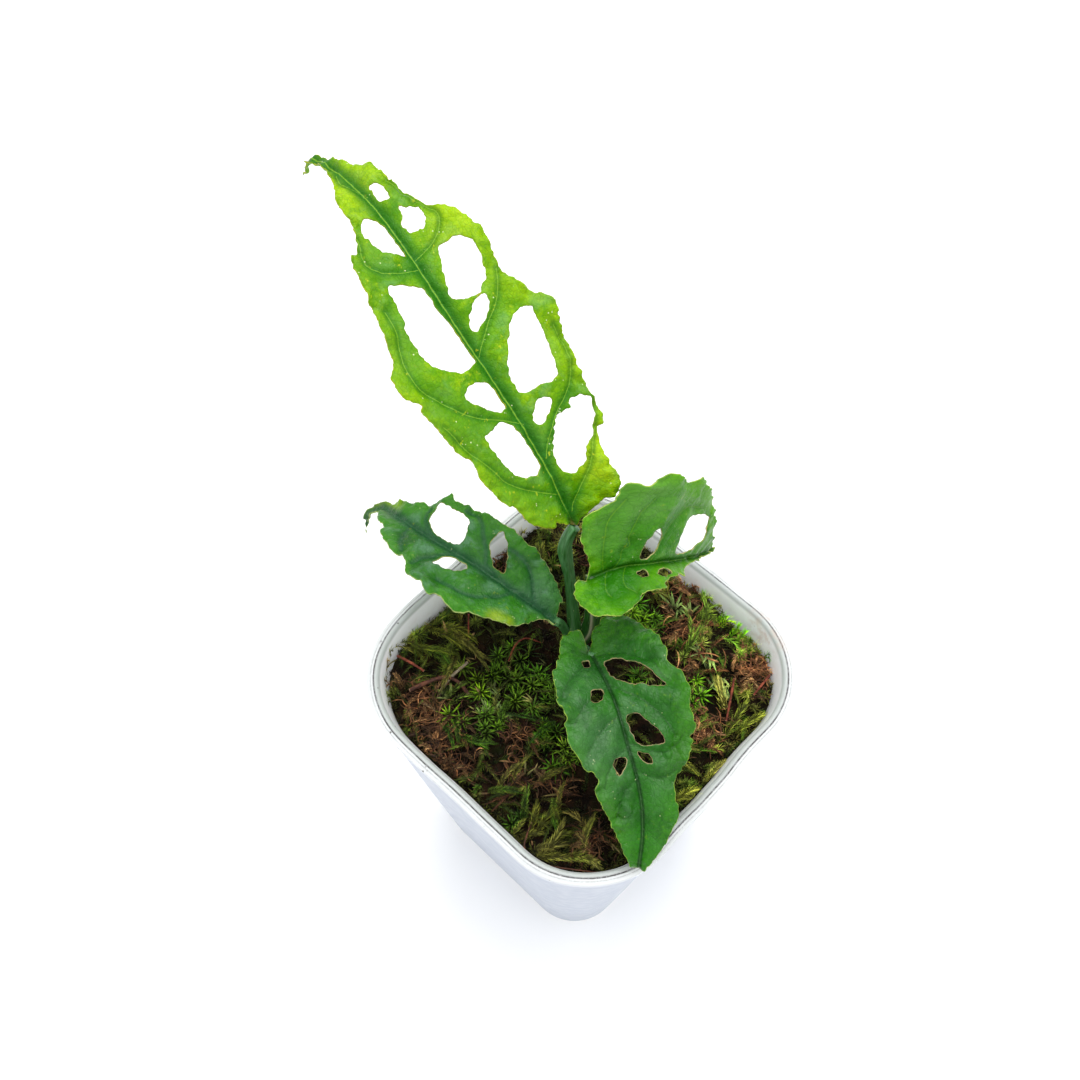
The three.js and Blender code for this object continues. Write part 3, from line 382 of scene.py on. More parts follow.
def triangles(points, loops):
    """Triangles inside the first loop and outside the others, and their points."""
    points, _, faces, _, _, _ = delaunay_2d_cdt([Vector(p) for p in points], loop_edges(loops), [], 0, 1e-6)
    points, faces = np.array(points), np.array(faces)
    faces = anticlockwise(points, faces[within(points[faces].mean(1), loops)])
    used, place = np.unique(faces, return_inverse=True)
    return points[used], place.reshape(-1, 3)


def bands(rings, sides):
    """Faces between closed rings of points that follow each other in one list."""
    ring = np.arange(sides)
    faces = []
    for k in range(rings - 1):
        a, b = k * sides + ring, k * sides + np.roll(ring, -1)
        faces.append(np.c_[a, b, b + sides, a + sides])
    return faces


def open_edges(faces):
    """Edges that only one triangle has, in its direction."""
    runs = np.vstack([faces[:, [0, 1]], faces[:, [1, 2]], faces[:, [2, 0]]])
    key = runs[:, 0] * (runs.max() + 1) + runs[:, 1]
    back = runs[:, 1] * (runs.max() + 1) + runs[:, 0]
    return runs[~np.isin(key, back)]


def volume(points, faces):
    """Six times the signed volume of a closed mesh of triangles or quads."""
    total = 0.0
    for f in faces:
        for k in range(1, f.shape[1] - 1):
            a, b, c = points[f[:, 0]], points[f[:, k]], points[f[:, k + 1]]
            total += (np.cross(a, b) * c).sum()
    return total


def make_piece(name, points, faces, material, values=None, tint=None):
    """A mesh object from millimetre points and arrays of faces, with values at its points."""
    points = np.asarray(points, float)
    faces = [np.asarray(f, np.int32) for f in faces]
    if volume(points - points.mean(0), faces) < 0:
        faces = [f[:, ::-1] for f in faces]
    mesh = bpy.data.meshes.new(name)
    corners = np.concatenate([f.ravel() for f in faces])
    sizes = np.concatenate([np.full(len(f), f.shape[1], np.int32) for f in faces])
    mesh.vertices.add(len(points))
    mesh.vertices.foreach_set("co", (points * MM).astype(np.float32).ravel())
    mesh.loops.add(len(corners))
    mesh.loops.foreach_set("vertex_index", corners)
    mesh.polygons.add(len(sizes))
    mesh.polygons.foreach_set("loop_start", np.r_[0, np.cumsum(sizes)[:-1]].astype(np.int32))
    mesh.update(calc_edges=True)
    mesh.validate()
    mesh.shade_smooth()
    for key, data in (values or {}).items():
        layer = mesh.attributes.new(key, "FLOAT_VECTOR" if data.ndim == 2 else "FLOAT", "POINT")
        layer.data.foreach_set("vector" if data.ndim == 2 else "value", data.astype(np.float32).ravel())
    if tint is not None:
        layer = mesh.attributes.new("tint", "FLOAT_COLOR", "POINT")
        full = np.c_[tint, np.ones(len(tint))]
        layer.data.foreach_set("color", full.astype(np.float32).ravel())
    mesh.materials.append(material)
    piece = bpy.data.objects.new(name, mesh)
    bpy.context.scene.collection.objects.link(piece)
    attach(piece, "root")
    return piece


# Materials. Screen colours are given as red, green and blue from 0 to 255.
PALE_SPOT = (206, 216, 160)
JOINT = (128, 78, 62)


class Paint:
    """A Principled material that is built up node by node. colour is the colour so far."""

    def __init__(self, name, **settings):
        self.material = bpy.data.materials.new(name)
        self.material.use_nodes = True
        self.tree = self.material.node_tree
        self.shader = self.tree.nodes["Principled BSDF"]
        self.colour = None
        for key, value in settings.items():
            self.shader.inputs[key.replace("_", " ")].default_value = value

    def add(self, kind, inputs=None, **settings):
        node = self.tree.nodes.new("ShaderNode" + kind)
        for key, value in settings.items():
            setattr(node, key, value)
        for key, value in (inputs or {}).items():
            self.feed(value, node.inputs[key])
        return node

    def feed(self, value, socket):
        if isinstance(value, bpy.types.NodeSocket):
            self.tree.links.new(value, socket)
        else:
            socket.default_value = value

    def value(self, name):
        return self.add("Attribute", attribute_name=name).outputs["Fac"]

    def vector(self, name):
        return self.add("Attribute", attribute_name=name).outputs["Vector"]

    def place(self):
        return self.add("TexCoord").outputs["Object"]

    def math(self, operation, a, b):
        return self.add("Math", {0: a, 1: b}, operation=operation).outputs[0]

    def times(self, a, b):
        return self.math("MULTIPLY", a, b)

    def mix(self, factor, a, b, blend="MIX"):
        node = self.add("Mix", {0: factor, 6: a, 7: b}, data_type="RGBA", blend_type=blend, clamp_factor=True)
        return node.outputs[2]

    def start(self, mask, first, second):
        """The first colour: between two screen colours, as the mask says."""
        self.colour = self.mix(mask, srgb(*first), srgb(*second))

    def over(self, mask, screen, share=1.0):
        """Lays a screen colour over the colour so far, where the mask says."""
        factor = mask if share == 1.0 else self.times(mask, share)
        self.colour = self.mix(factor, self.colour, srgb(*screen))

    def finish(self, normal=None, roughness=None):
        """Wires the colour so far and what else is given, and gives back the material."""
        for key, value in (("Base Color", self.colour), ("Normal", normal), ("Roughness", roughness)):
            if value is not None:
                self.feed(value, self.shader.inputs[key])
        return self.material

    def fade(self, value, low, high, start=0.0, end=1.0):
        """start where value is low, end where it is high, smooth between."""
        names = {"Value": value, "From Min": low, "From Max": high, "To Min": start, "To Max": end}
        return self.add("MapRange", names, interpolation_type="SMOOTHSTEP").outputs["Result"]

    def noise(self, where, scale, detail=2.0, roughness=0.5, distortion=0.0):
        names = {"Vector": where, "Scale": scale, "Detail": detail}
        names |= {"Roughness": roughness, "Distortion": distortion}
        return self.add("TexNoise", names).outputs["Fac"]

    def cells(self, where, scale, feature="F1", output="Distance"):
        return self.add("TexVoronoi", {"Vector": where, "Scale": scale}, feature=feature).outputs[output]

    def stretch(self, where, factors):
        return self.add("Mapping", {"Vector": where, "Scale": factors}).outputs["Vector"]

    def bump(self, height, distance, strength):
        names = {"Height": height, "Distance": distance, "Strength": strength}
        return self.add("Bump", names).outputs["Normal"]


def leaf_paint(name, look):
    """Leaf finish: colour by veins, margin and patches, painted reflection in grey-green patches, a finely
    pebbled and softly glossy surface.
    """
    paint = Paint(
        name, Specular_IOR_Level=look["shine"], Subsurface_Weight=look["glow"], Subsurface_Scale=0.001,
        Subsurface_Radius=(0.4, 1.0, 0.1),
    )
    flat = paint.vector("flat")
    rib, vein, edge, hole = (paint.value(key) for key in ("rib", "vein", "edge", "hole"))
    near = paint.math("MINIMUM", rib, vein)
    patch = paint.noise(flat, 0.1, 3, 0.55, 0.4)
    cloud = paint.noise(flat, 0.36, 5, 0.62, 0.3)
    grain = paint.times(paint.noise(flat, 2.6, 4, 0.7), 0.2)
    paint.start(paint.fade(paint.math("ADD", patch, grain), 0.44, 0.68), look["deep"], look["mid"])
    paint.over(paint.times(paint.fade(cloud, 0.4, 0.66), paint.fade(near, 0.8, 5.5)), look["light"])
    # Painted reflection: grey-green patches away from the veins stand in for the light's reflection on the
    # blade
    painted_sheen_share = paint.times(paint.fade(paint.noise(flat, 0.16, 4, 0.6, 0.5), 0.5, 0.64), look["painted_sheen_share"])
    paint.over(paint.times(painted_sheen_share, paint.fade(near, 0.5, 2.5)), look["painted_sheen"])
    outer = paint.times(paint.fade(edge, 5.5, 0.4), paint.fade(patch, 0.36, 0.62, 0.2, 1.0))
    paint.over(outer, look["light"])
    for s, t, reach, key, share in look["zones"]:
        far = paint.add("VectorMath", {0: flat, 1: (s, t, 0)}, operation="DISTANCE").outputs["Value"]
        within = paint.fade(far, reach, reach * 0.35, 0.0, share)
        paint.over(paint.times(within, paint.fade(cloud, 0.25, 0.6, 0.5, 1.0)), look[key])
    paint.over(paint.fade(rib, look["flank_reach"], 0.3, 0.0, 0.92), look["flank"])
    paint.over(paint.fade(vein, look["flank_reach"] * 0.42, 0.15, 0.0, look["vein_flank"]), look["flank"])
    paint.over(paint.times(paint.fade(vein, 0.15, 0.04), look["vein_line"]), look["line"])
    lined = paint.fade(paint.value("along"), *look["line_run"])
    paint.over(paint.times(paint.times(paint.fade(rib, 0.22, 0.07), look["rib_line"]), lined), look["line"])
    fine = paint.cells(flat, 0.8, "DISTANCE_TO_EDGE")
    paint.over(paint.fade(fine, 0.1, 0.0, 0.0, 0.22), look["flank"])
    blotch = paint.fade(paint.noise(flat, 0.62, 4, 0.6), 0.60, 0.72)
    zone = paint.fade(paint.noise(flat, 0.07, 2), 0.46, 0.6)
    paint.over(paint.times(blotch, zone), look["speck"], look["blotch"])
    dots = paint.fade(paint.cells(flat, 0.75), 0.17, 0.08)
    dots = paint.times(dots, paint.fade(paint.noise(flat, 0.24, 2), 0.56, 0.62))
    paint.over(dots, PALE_SPOT, look["spots"])
    uneven = paint.fade(paint.noise(flat, 0.55, 3), 0.34, 0.62, 0.25, 1.0)
    paint.over(paint.times(paint.fade(edge, 0.16, 0.04), uneven), look["margin"])
    paint.over(paint.times(paint.fade(hole, 0.15, 0.03), uneven), look["rim"])
    paint.over(paint.value("joint"), JOINT, look["joint"])
    paint.over(paint.value("below"), look["under"], 0.75)
    pebble = paint.times(paint.cells(flat, 2.6, "SMOOTH_F1"), 0.45)
    wrinkle = paint.times(paint.noise(flat, 0.8, 4, 0.65), 2.2)
    height = paint.math("ADD", paint.math("ADD", pebble, wrinkle), paint.fade(fine, 0.0, 0.16, 0.0, 0.5))
    rough = paint.fade(paint.noise(flat, 0.5, 4, 0.6), 0.3, 0.7, 0.3, 0.46)
    return paint.finish(paint.bump(height, 0.00016, 0.7), rough)


def pot_paint():
    """Thin white plastic: faint mottling, painted shade on the outside and along the inner crest, creases
    greyed with painted shade and soil, a brown stain, damp inner walls.
    """
    paint = Paint(
        "pot plastic", Specular_IOR_Level=0.4, Subsurface_Weight=0.35, Subsurface_Scale=0.006,
        Subsurface_Radius=(1.0, 1.0, 1.0),
    )
    where = paint.place()
    paint.start(paint.fade(paint.noise(where, 45, 4, 0.6), 0.35, 0.7), (240, 241, 243), (248, 249, 250))
    # Painted shade: grey on the inner side of the rim's crest
    paint.over(paint.value("crest"), (176, 181, 178))
    # Painted shade: the outside walls bluish grey, darker than the white plastic inside
    paint.over(paint.value("outside"), (182, 190, 205), 0.95)
    # Painted shade: grey in the rim's grooves and under the lip; the soil flecks laid over it below are dirt
    crease = paint.value("crease")
    paint.over(crease, (140, 140, 144), 0.6)
    fleck = paint.fade(paint.noise(where, 1500, 6, 0.7, 0.6), 0.36, 0.54)
    soil = paint.times(fleck, paint.fade(paint.noise(where, 170, 4, 0.65), 0.36, 0.56, 0.45, 1.0))
    paint.over(paint.times(soil, crease), (66, 58, 56), 0.95)
    few = paint.fade(paint.noise(where, 110, 3), 0.55, 0.66)
    dust = paint.times(paint.fade(paint.cells(where, 520), 0.2, 0.09), few)
    paint.over(paint.times(dust, paint.value("grime")), (62, 50, 44), 0.85)
    blur = paint.fade(paint.noise(where, 300, 5, 0.65), 0.42, 0.72)
    paint.over(paint.times(paint.value("stain"), blur), (190, 160, 142), 0.6)
    blur = paint.fade(paint.noise(where, 260, 5, 0.65), 0.3, 0.66)
    paint.over(paint.times(paint.value("damp"), blur), (140, 126, 98), 0.4)
    scratch = paint.noise(paint.stretch(where, (1.0, 1.0, 0.08)), 1500, 3, 0.6)
    rough = paint.fade(paint.noise(where, 300, 4), 0.3, 0.7, 0.32, 0.48)
    return paint.finish(paint.bump(scratch, 0.0001, 0.12), rough)


def moss_paint(name, gloss, relief, shade):
    """Leaflets, fibres and crumbs: each has its own tint, which also carries painted shade and painted light,
    with fine streaks and darker feet.
    """
    paint = Paint(name, Roughness=gloss, Specular_IOR_Level=0.3)
    streak = paint.noise(paint.place(), 1800, 3, 0.6)
    lighter = paint.mix(paint.fade(streak, 0.3, 0.72), shade, (1.25, 1.22, 1.12, 1.0))
    tint = paint.add("Attribute", attribute_name="tint").outputs["Color"]
    paint.colour = paint.mix(1.0, tint, lighter, "MULTIPLY")
    return paint.finish(paint.bump(streak, relief, 0.6))


def bark_paint(name, dark, light, red):
    """Weathered twig: long grain, darker bark in patches, reddish where the bark is worn."""
    paint = Paint(name, Roughness=0.72, Specular_IOR_Level=0.25)
    flat = paint.vector("flat")
    fibre = paint.noise(paint.stretch(flat, (0.25, 1.0, 1.0)), 2.4, 5, 0.65, 0.4)
    paint.start(paint.fade(fibre, 0.32, 0.68), dark, light)
    paint.over(paint.fade(paint.noise(flat, 0.35, 3, 0.6), 0.45, 0.62, 0.0, 0.8), red)
    paint.over(paint.fade(paint.value("end"), 0.0, 1.0, 0.0, 0.6), (196, 160, 130))
    return paint.finish(paint.bump(fibre, 0.0003, 0.8))


def stalk_paint(name, deep, light, pale):
    """Smooth stalk: darker towards its foot, bluish bloom above, fine pale specks and long streaks."""
    paint = Paint(
        name, Specular_IOR_Level=0.42, Subsurface_Weight=0.25, Subsurface_Scale=0.002,
        Subsurface_Radius=(0.5, 1.0, 0.2),
    )
    flat = paint.vector("flat")
    streak = paint.noise(paint.stretch(flat, (0.12, 1.0, 1.0)), 1.6, 4, 0.6)
    paint.start(paint.fade(streak, 0.3, 0.7), deep, light)
    paint.over(paint.fade(paint.value("rise"), 0.0, 1.0, 0.75, 0.0), deep)
    specks = paint.fade(paint.cells(flat, 0.8), 0.12, 0.05)
    paint.over(paint.times(specks, paint.fade(paint.noise(flat, 0.5, 2), 0.5, 0.6)), pale)
    paint.over(paint.value("keel"), pale, 0.8)
    paint.over(paint.value("husk"), (128, 96, 66))
    return paint.finish(paint.bump(streak, 0.0001, 0.5), paint.fade(streak, 0.3, 0.7, 0.36, 0.5))


# Leaves
EDGE_STEP = 0.36
GRID_CELL = 0.5


def through(values, u):
    """The angle in radians at u, from its degrees at the start, the middle and the end."""
    a, b, c = values
    return np.radians(a * (1 - u) * (1 - 2 * u) + 4 * b * u * (1 - u) + c * u * (2 * u - 1))


class Blade:
    """The part's blade surface: a place in space for each place in the flat blade."""

    def __init__(self, leaf):
        self.leaf = leaf
        self.line = catmull(leaf["rib"], each=60)
        step = np.linalg.norm(np.diff(self.line, axis=0), axis=1)
        self.far = np.r_[0, np.cumsum(step)]
        self.length = self.far[-1]
        self.way = unit(np.gradient(self.line, self.far, axis=0))
        self.widest = max(w for _, w in leaf["left"] + leaf["right"])

    def place(self, s, t, swell):
        """s along the rib, t across it, raised by swell."""
        leaf = self.leaf
        along = np.clip(s, 0, self.length)
        u = along / self.length
        middle = np.stack([np.interp(along, self.far, self.line[:, k]) for k in range(3)], 1)
        way = unit(np.stack([np.interp(along, self.far, self.way[:, k]) for k in range(3)], 1))
        level = unit(np.cross(way, (0, 0, 1)))
        above = np.cross(level, way)
        roll = through(leaf["roll"], u)[:, None]
        side = level * np.cos(roll) + above * np.sin(roll)
        normal = above * np.cos(roll) - level * np.sin(roll)
        wide = np.abs(t)
        lift = np.where(t < 0, through(leaf["fold_left"], u), through(leaf["fold_right"], u))
        ripple = leaf["ruffle"] * (wide / self.widest) ** 2
        ripple *= np.sin(2 * math.pi * s / (0.7 * leaf["pitch"]) + np.sign(t))
        rise = wide * np.sin(lift) + ripple + swell
        across = side * (t * np.cos(lift))[:, None]
        return middle + way * (s - along)[:, None] + across + normal * rise[:, None]


def guide_points(leaf, tip):
    """Points along the rib and the side veins, close enough to carry their fine relief."""
    by_rib = (-1.0, -0.62, -0.36, -0.17, 0, 0.17, 0.36, 0.62, 1.0)
    by_vein = (-0.5, -0.24, 0, 0.24, 0.5)
    runs = [(np.array([(0.4, 0), (tip - 0.8, 0)]), by_rib)]
    runs += [(catmull(vein), by_vein) for vein in leaf["veins"]]
    points = []
    for line, offsets in runs:
        line = spaced(line, 0.32)
        side = unit(np.gradient(line, axis=0))[:, ::-1] * (-1, 1)
        points += [line + side * off for off in offsets]
    points = np.vstack(points)
    _, first = np.unique(np.floor(points / 0.13).astype(int), axis=0, return_index=True)
    return points[np.sort(first)]


def flat_blade(leaf, tip):
    """Triangles over the flat blade, finest along its edges and veins."""
    left = [(s, -w) for s, w in reversed(leaf["left"])]
    outline = np.vstack([
        spaced(catmull(leaf["right"] + [(tip, 0)]), EDGE_STEP),
        spaced(catmull([(tip, 0)] + left), EDGE_STEP)[1:],
    ])
    loops = [outline]
    loops += [spaced(catmull(hole, closed=True), EDGE_STEP, closed=True) for hole in leaf["holes"]]
    for k, loop in enumerate(loops):
        wave = 0.15 * ripples(loop, 2.8, 40 + k) + 0.06 * ripples(loop, 1.1, 80 + k)
        away = unit(np.roll(loop, -1, 0) - np.roll(loop, 1, 0))[:, ::-1] * (1, -1)
        loops[k] = loop + away * wave[:, None]
    closed = [np.vstack([loop, loop[:1]]) for loop in loops]
    low, high = outline.min(0), outline.max(0)
    rows = np.arange(low[1], high[1], GRID_CELL * math.sqrt(3) / 2)
    starts = [low[0] + (r % 2) * GRID_CELL / 2 for r in range(len(rows))]
    grid = np.vstack([
        np.stack(np.broadcast_arrays(np.arange(start, high[0], GRID_CELL), y), 1)
        for start, y in zip(starts, rows)
    ])
    guides = guide_points(leaf, tip)
    veins = np.min([distance_to(grid, catmull(vein, each=6)) for vein in leaf["veins"]], 0)
    grid = grid[(veins > 0.75) & (np.abs(grid[:, 1]) > 1.3)]
    inner = []
    for points, gap in ((guides, 0.16), (grid, 0.55 * GRID_CELL)):
        points = points[within(points, loops)]
        inner.append(points[np.min([distance_to(points, loop) for loop in closed], 0) > gap])
    points, faces = triangles(np.vstack(loops + inner), loops)
    return points, faces, open_edges(faces), closed


def leaf_swell(leaf, s, t, near, edge, seed):
    """How far the blade bulges between its veins, sinks and crinkles along its edge, and blisters."""
    points = np.c_[s, t]
    swell = 1.5 * leaf["quilt"] * (1 - np.exp(-((near / 3.2) ** 1.7)))
    swell += 0.2 * ripples(points, 6.5, seed) + 0.07 * ripples(points, 2.4, seed + 1)
    swell -= 0.45 * bell(edge, 1.3) - 0.42 * ripples(points, 5, seed + 2) * bell(edge, 2.2)
    swell += 0.16 * ripples(points, 2.5, seed + 4) * bell(edge, 1.2)
    for along, across, long, wide in leaf.get("blisters", []):
        far = np.hypot((s - along) / long, (t - across) / wide)
        swell += 0.45 * np.exp(-(far**4)) - 0.35 * bell(far - 1.15, 0.18)
    return swell


def leaf_piece(name, leaf, material, seed):
    """A closed blade: quilted, thickest along its edges, grooved above and ribbed below."""
    blade = Blade(leaf)
    points, faces, rim, loops = flat_blade(leaf, blade.length)
    s, t = points[:, 0], points[:, 1]
    edge = distance_to(points, loops[0])
    hole = np.min([distance_to(points, loop) for loop in loops[1:]], 0)
    rib = np.hypot(t, np.maximum(0, -s))
    vein = np.min([distance_to(points, catmull(v, each=8)) for v in leaf["veins"]], 0)
    start = np.clip(np.abs(t) / 1.5, 0, 1)
    size = 1 - 0.75 * np.clip(s / blade.length, 0, 1)
    near = 1 / (1 / (vein + 0.05) ** 2 + 1 / (rib + 0.05) ** 2) ** 0.5
    swell = leaf_swell(leaf, s, t, near, edge, seed)
    bead = 0.08 * bell(np.minimum(edge, hole), 0.3)
    groove = leaf["depth"] * size * bell(rib, leaf["groove"]) - leaf["raised"] * size * bell(rib, 0.17)
    groove += 0.22 * start * bell(vein, 0.5) - 0.1 * bell(vein, 0.16)
    ridge = 1.1 * size * np.clip(1 - rib / 1.5, 0, 1) ** 0.8 + 0.3 * start * size * bell(vein, 0.4)
    thin = 0.1 + 0.15 * (1 - np.exp(-np.minimum(edge, hole) / 0.4))
    # The way out of the blade, from places a little further along and across it
    reach = 0.3
    ahead, behind = (blade.place(s + d, t, swell) for d in (reach, -reach))
    out, back = (blade.place(s, t + d, swell) for d in (reach, -reach))
    normal = unit(np.cross(out - back, ahead - behind))
    middle = blade.place(s, t, swell)
    top = middle + normal * (thin + bead - groove)[:, None]
    bottom = middle - normal * (thin + 0.5 * bead + ridge)[:, None]
    n = len(points)
    skin = [faces, faces[:, ::-1] + n, np.c_[rim[:, 1], rim[:, 0], rim[:, 0] + n, rim[:, 1] + n]]
    values = {
        "flat": np.c_[s, t, np.zeros(n)], "rib": rib, "vein": np.where(np.abs(t) < 0.25, 9, vein),
        "edge": edge, "hole": hole, "along": s, "joint": np.exp(-((s / 1.8) ** 2) - (t / 0.45) ** 2),
        "below": np.zeros(n),
    }
    both = {key: np.concatenate([data, data]) for key, data in values.items()}
    both["below"][n:] = 1
    piece = make_piece(name, np.vstack([top, bottom]), skin, material, both)
    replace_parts(piece, name.replace("_blade", ""))


# How each leaf looks: its colours, then how far or how strongly each shows. line_run is where along
# the rib its light line begins and is full. A zone is a patch: along, across, reach, colour, share.
# The sheen colour, its share and the sheen zones are a painted reflection of the light, not a colour of the
# leaf
LOOKS = {
    "back": {
        "deep": (66, 126, 0), "mid": (92, 148, 0), "light": (132, 174, 0), "flank": (34, 102, 16),
        "painted_sheen": (104, 156, 78), "line": (140, 184, 50), "margin": (176, 166, 44), "rim": (150, 146, 40),
        "under": (120, 164, 40), "speck": (196, 200, 40), "flank_reach": 3.6, "line_run": (0, 12),
        "vein_line": 0.6, "rib_line": 0.65, "blotch": 0.7, "joint": 0.8, "glow": 0.1, "shine": 0.13,
        "painted_sheen_share": 0.5, "spots": 1.0, "seed": 3, "vein_flank": 0.6, "bright": (176, 206, 20),
        "dull": (84, 138, 20),
        "zones": [
            (104, -3, 15, "bright", 0.4), (116, 0, 12, "light", 0.4), (14, 13, 10, "bright", 0.65),
            (40, 19, 11, "light", 0.6), (66, 16, 12, "light", 0.5), (80, 12, 10, "bright", 0.4),
            (84, -13, 12, "dull", 0.7), (62, -19, 12, "dull", 0.6), (40, -17, 13, "dull", 0.75),
            (20, -12, 13, "dull", 0.6), (8, -6, 8, "dull", 0.5), (24, -2, 9, "painted_sheen", 0.35),
        ],
    },
    "left": {
        "deep": (18, 84, 0), "mid": (36, 108, 4), "light": (60, 128, 14), "flank": (30, 82, 46),
        "painted_sheen": (86, 132, 96), "line": (60, 110, 60), "margin": (176, 186, 110), "rim": (190, 180, 110),
        "under": (88, 138, 50), "speck": (150, 168, 10), "flank_reach": 2.6, "line_run": (0, 10),
        "vein_line": 0.1, "rib_line": 0.15, "blotch": 0.35, "joint": 0.0, "glow": 0.04, "shine": 0.3,
        "painted_sheen_share": 0.75, "spots": 0.35, "seed": 5, "vein_flank": 0.75, "tip": (150, 182, 0),
        "zones": [
            (72, 0, 8, "tip", 0.85), (63, 3, 6, "tip", 0.5), (13.7, -10.9, 4.4, "speck", 0.6),
            (8, 4, 8, "painted_sheen", 0.4), (44, 12, 6, "light", 0.7), (30, 14, 5, "light", 0.6),
        ],
    },
    "right": {
        "deep": (32, 100, 0), "mid": (48, 118, 0), "light": (84, 148, 0), "flank": (24, 84, 0),
        "painted_sheen": (92, 146, 56), "line": (112, 162, 10), "margin": (178, 192, 90), "rim": (196, 172, 120),
        "under": (92, 140, 50), "speck": (190, 200, 50), "flank_reach": 2.2, "line_run": (0, 10),
        "vein_line": 0.35, "rib_line": 0.3, "blotch": 0.3, "joint": 0.0, "glow": 0.05, "shine": 0.2,
        "painted_sheen_share": 0.6, "spots": 0.35, "seed": 7, "vein_flank": 0.3,
        "zones": [
            (22, 4, 9, "light", 0.4), (28, -18, 12, "light", 0.5), (8, -14, 10, "light", 0.35),
            (8, 9, 9, "deep", 0.6), (16, -14, 12, "mid", 0.6), (12, -19, 9, "painted_sheen", 0.6),
            (30, -17, 9, "painted_sheen", 0.4), (4, -10, 7, "painted_sheen", 0.4),
        ],
    },
    "front": {
        "deep": (10, 72, 0), "mid": (24, 92, 0), "light": (50, 116, 0), "flank": (8, 56, 4),
        "painted_sheen": (66, 114, 62), "line": (80, 130, 60), "margin": (150, 180, 60), "rim": (186, 152, 118),
        "under": (84, 134, 50), "speck": (120, 160, 10), "flank_reach": 0.9, "line_run": (30, 48),
        "vein_line": 0.0, "rib_line": 0.25, "blotch": 0.25, "joint": 0.0, "glow": 0.03, "shine": 0.3,
        "painted_sheen_share": 0.6, "spots": 0.4, "seed": 9, "vein_flank": 0.35, "bright": (36, 110, 0),
        "zones": [
            (54, 1, 10, "bright", 0.8), (42, -5, 8, "bright", 0.6), (26, 10, 14, "painted_sheen", 0.45),
            (8, 9, 10, "painted_sheen", 0.3), (31, -14, 6, "light", 0.5), (-4, -4, 7, "light", 0.4),
        ],
    },
}
for side, look in LOOKS.items():
    leaf_piece(f"leaf_{side}_blade", LEAVES[side], leaf_paint(side + " leaf", look), look["seed"])


# Swept pieces
def sweep(path, radii, face, sides, steps, shape):
    """A closed tube along a path, with values for its paint and each point's angle.

    shape gives the share of the radius from the angle off the face and the way along, 0 to 1.
    """
    line = spaced(catmull(path, each=30), count=steps + 1)
    way = unit(np.gradient(line, axis=0))
    face = np.asarray(face, float)
    ahead = unit(face - way * (way @ face)[:, None])
    beside = np.cross(way, ahead)
    run = np.linspace(0, 1, steps + 1)
    radius = np.interp(run, np.linspace(0, 1, len(radii)), radii)
    angle = np.linspace(-math.pi, math.pi, sides, endpoint=False)
    size = radius[:, None] * shape(angle[None, :], run[:, None])
    points = (
        line[:, None] + ahead[:, None] * (size * np.cos(angle))[..., None]
        + beside[:, None] * (size * np.sin(angle))[..., None]
    )
    ring, after = np.arange(sides), np.roll(np.arange(sides), -1)
    last, count = steps * sides, (steps + 1) * sides
    caps = [
        np.c_[np.full(sides, count), after, ring],
        np.c_[np.full(sides, count + 1), last + ring, last + after],
    ]
    points = np.vstack([points.reshape(-1, 3), points[0].mean(0), points[-1].mean(0)])
    far = run * np.linalg.norm(np.diff(line, axis=0), axis=1).sum()
    flat = np.stack(np.broadcast_arrays(far[:, None], radius[:, None] * angle, 0 * angle), 2).reshape(-1, 3)
    flat = np.vstack([flat, (0, 0, 0), (far[-1], 0, 0)])
    around = np.r_[np.tile(angle, steps + 1), 0, 0]
    rise = np.r_[np.repeat(run, sides), 0, 1]
    return points, bands(steps + 1, sides) + caps, {"flat": flat, "rise": rise}, around


STALK = stalk_paint("petiole", (26, 80, 14), (82, 134, 82), (188, 206, 150))
SHEATH = stalk_paint("sheath", (16, 58, 8), (40, 96, 20), (196, 186, 160))


def petiole_piece(side):
    spec = PETIOLES[side]
    sheath = side == "right"

    def channel(angle, run):
        groove = (0.30 if sheath else 0.22) * bell(angle, 0.5)
        wings = 0.10 * bell(np.abs(angle) - 0.95, 0.28)
        return 1 - groove + wings + 0.02 * np.sin(9 * run + 3 * angle)

    points, faces, values, around = sweep(spec["path"], spec["radii"], spec["groove"], 28, 60, channel)
    values["keel"] = bell(np.abs(around) - 0.95, 0.12) * (0.9 if sheath else 0.0)
    values["husk"] = np.zeros(len(around))
    piece = make_piece(f"petiole_{side}_stalk", points, faces, SHEATH if sheath else STALK, values)
    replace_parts(piece, f"petiole_{side}")


for side in PETIOLES:
    petiole_piece(side)


def stem_piece():
    path = [(STEM["x"], STEM["y"], z) for z in np.linspace(STEM["foot"], STEM["top"], 6)]
    radii = [STEM["foot_radius"], STEM["foot_radius"] * 0.97, STEM["top_radius"] * 1.15, STEM["top_radius"]]

    def rings(angle, run):
        scar = sum(bell(run - at, 0.018) for at in (0.45, 0.62, 0.8))
        return 0.96 + 0.05 * scar + 0.03 * np.sin(4 * angle + 11 * run)

    points, faces, values, around = sweep(path, radii, (1, 0, 0), 28, 60, rings)
    values["keel"] = np.zeros(len(around))
    values["husk"] = np.clip(0.75 - 0.9 * values["rise"] + 0.2 * np.sin(5 * around), 0, 1)
    piece = make_piece("stem_core", points, faces, SHEATH, values)
    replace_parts(piece, "stem")


stem_piece()

RED_BARK = bark_paint("red bark", (56, 24, 16), (124, 58, 40), (152, 78, 54))
BROWN_BARK = bark_paint("brown bark", (36, 20, 15), (88, 55, 42), (108, 66, 46))
PALE_BARK = bark_paint("pale bark", (104, 92, 74), (164, 152, 128), (140, 116, 90))
BARK = {"root_left": BROWN_BARK, "stick_pale": PALE_BARK, "twig_front": BROWN_BARK, "twig_centre": RED_BARK}
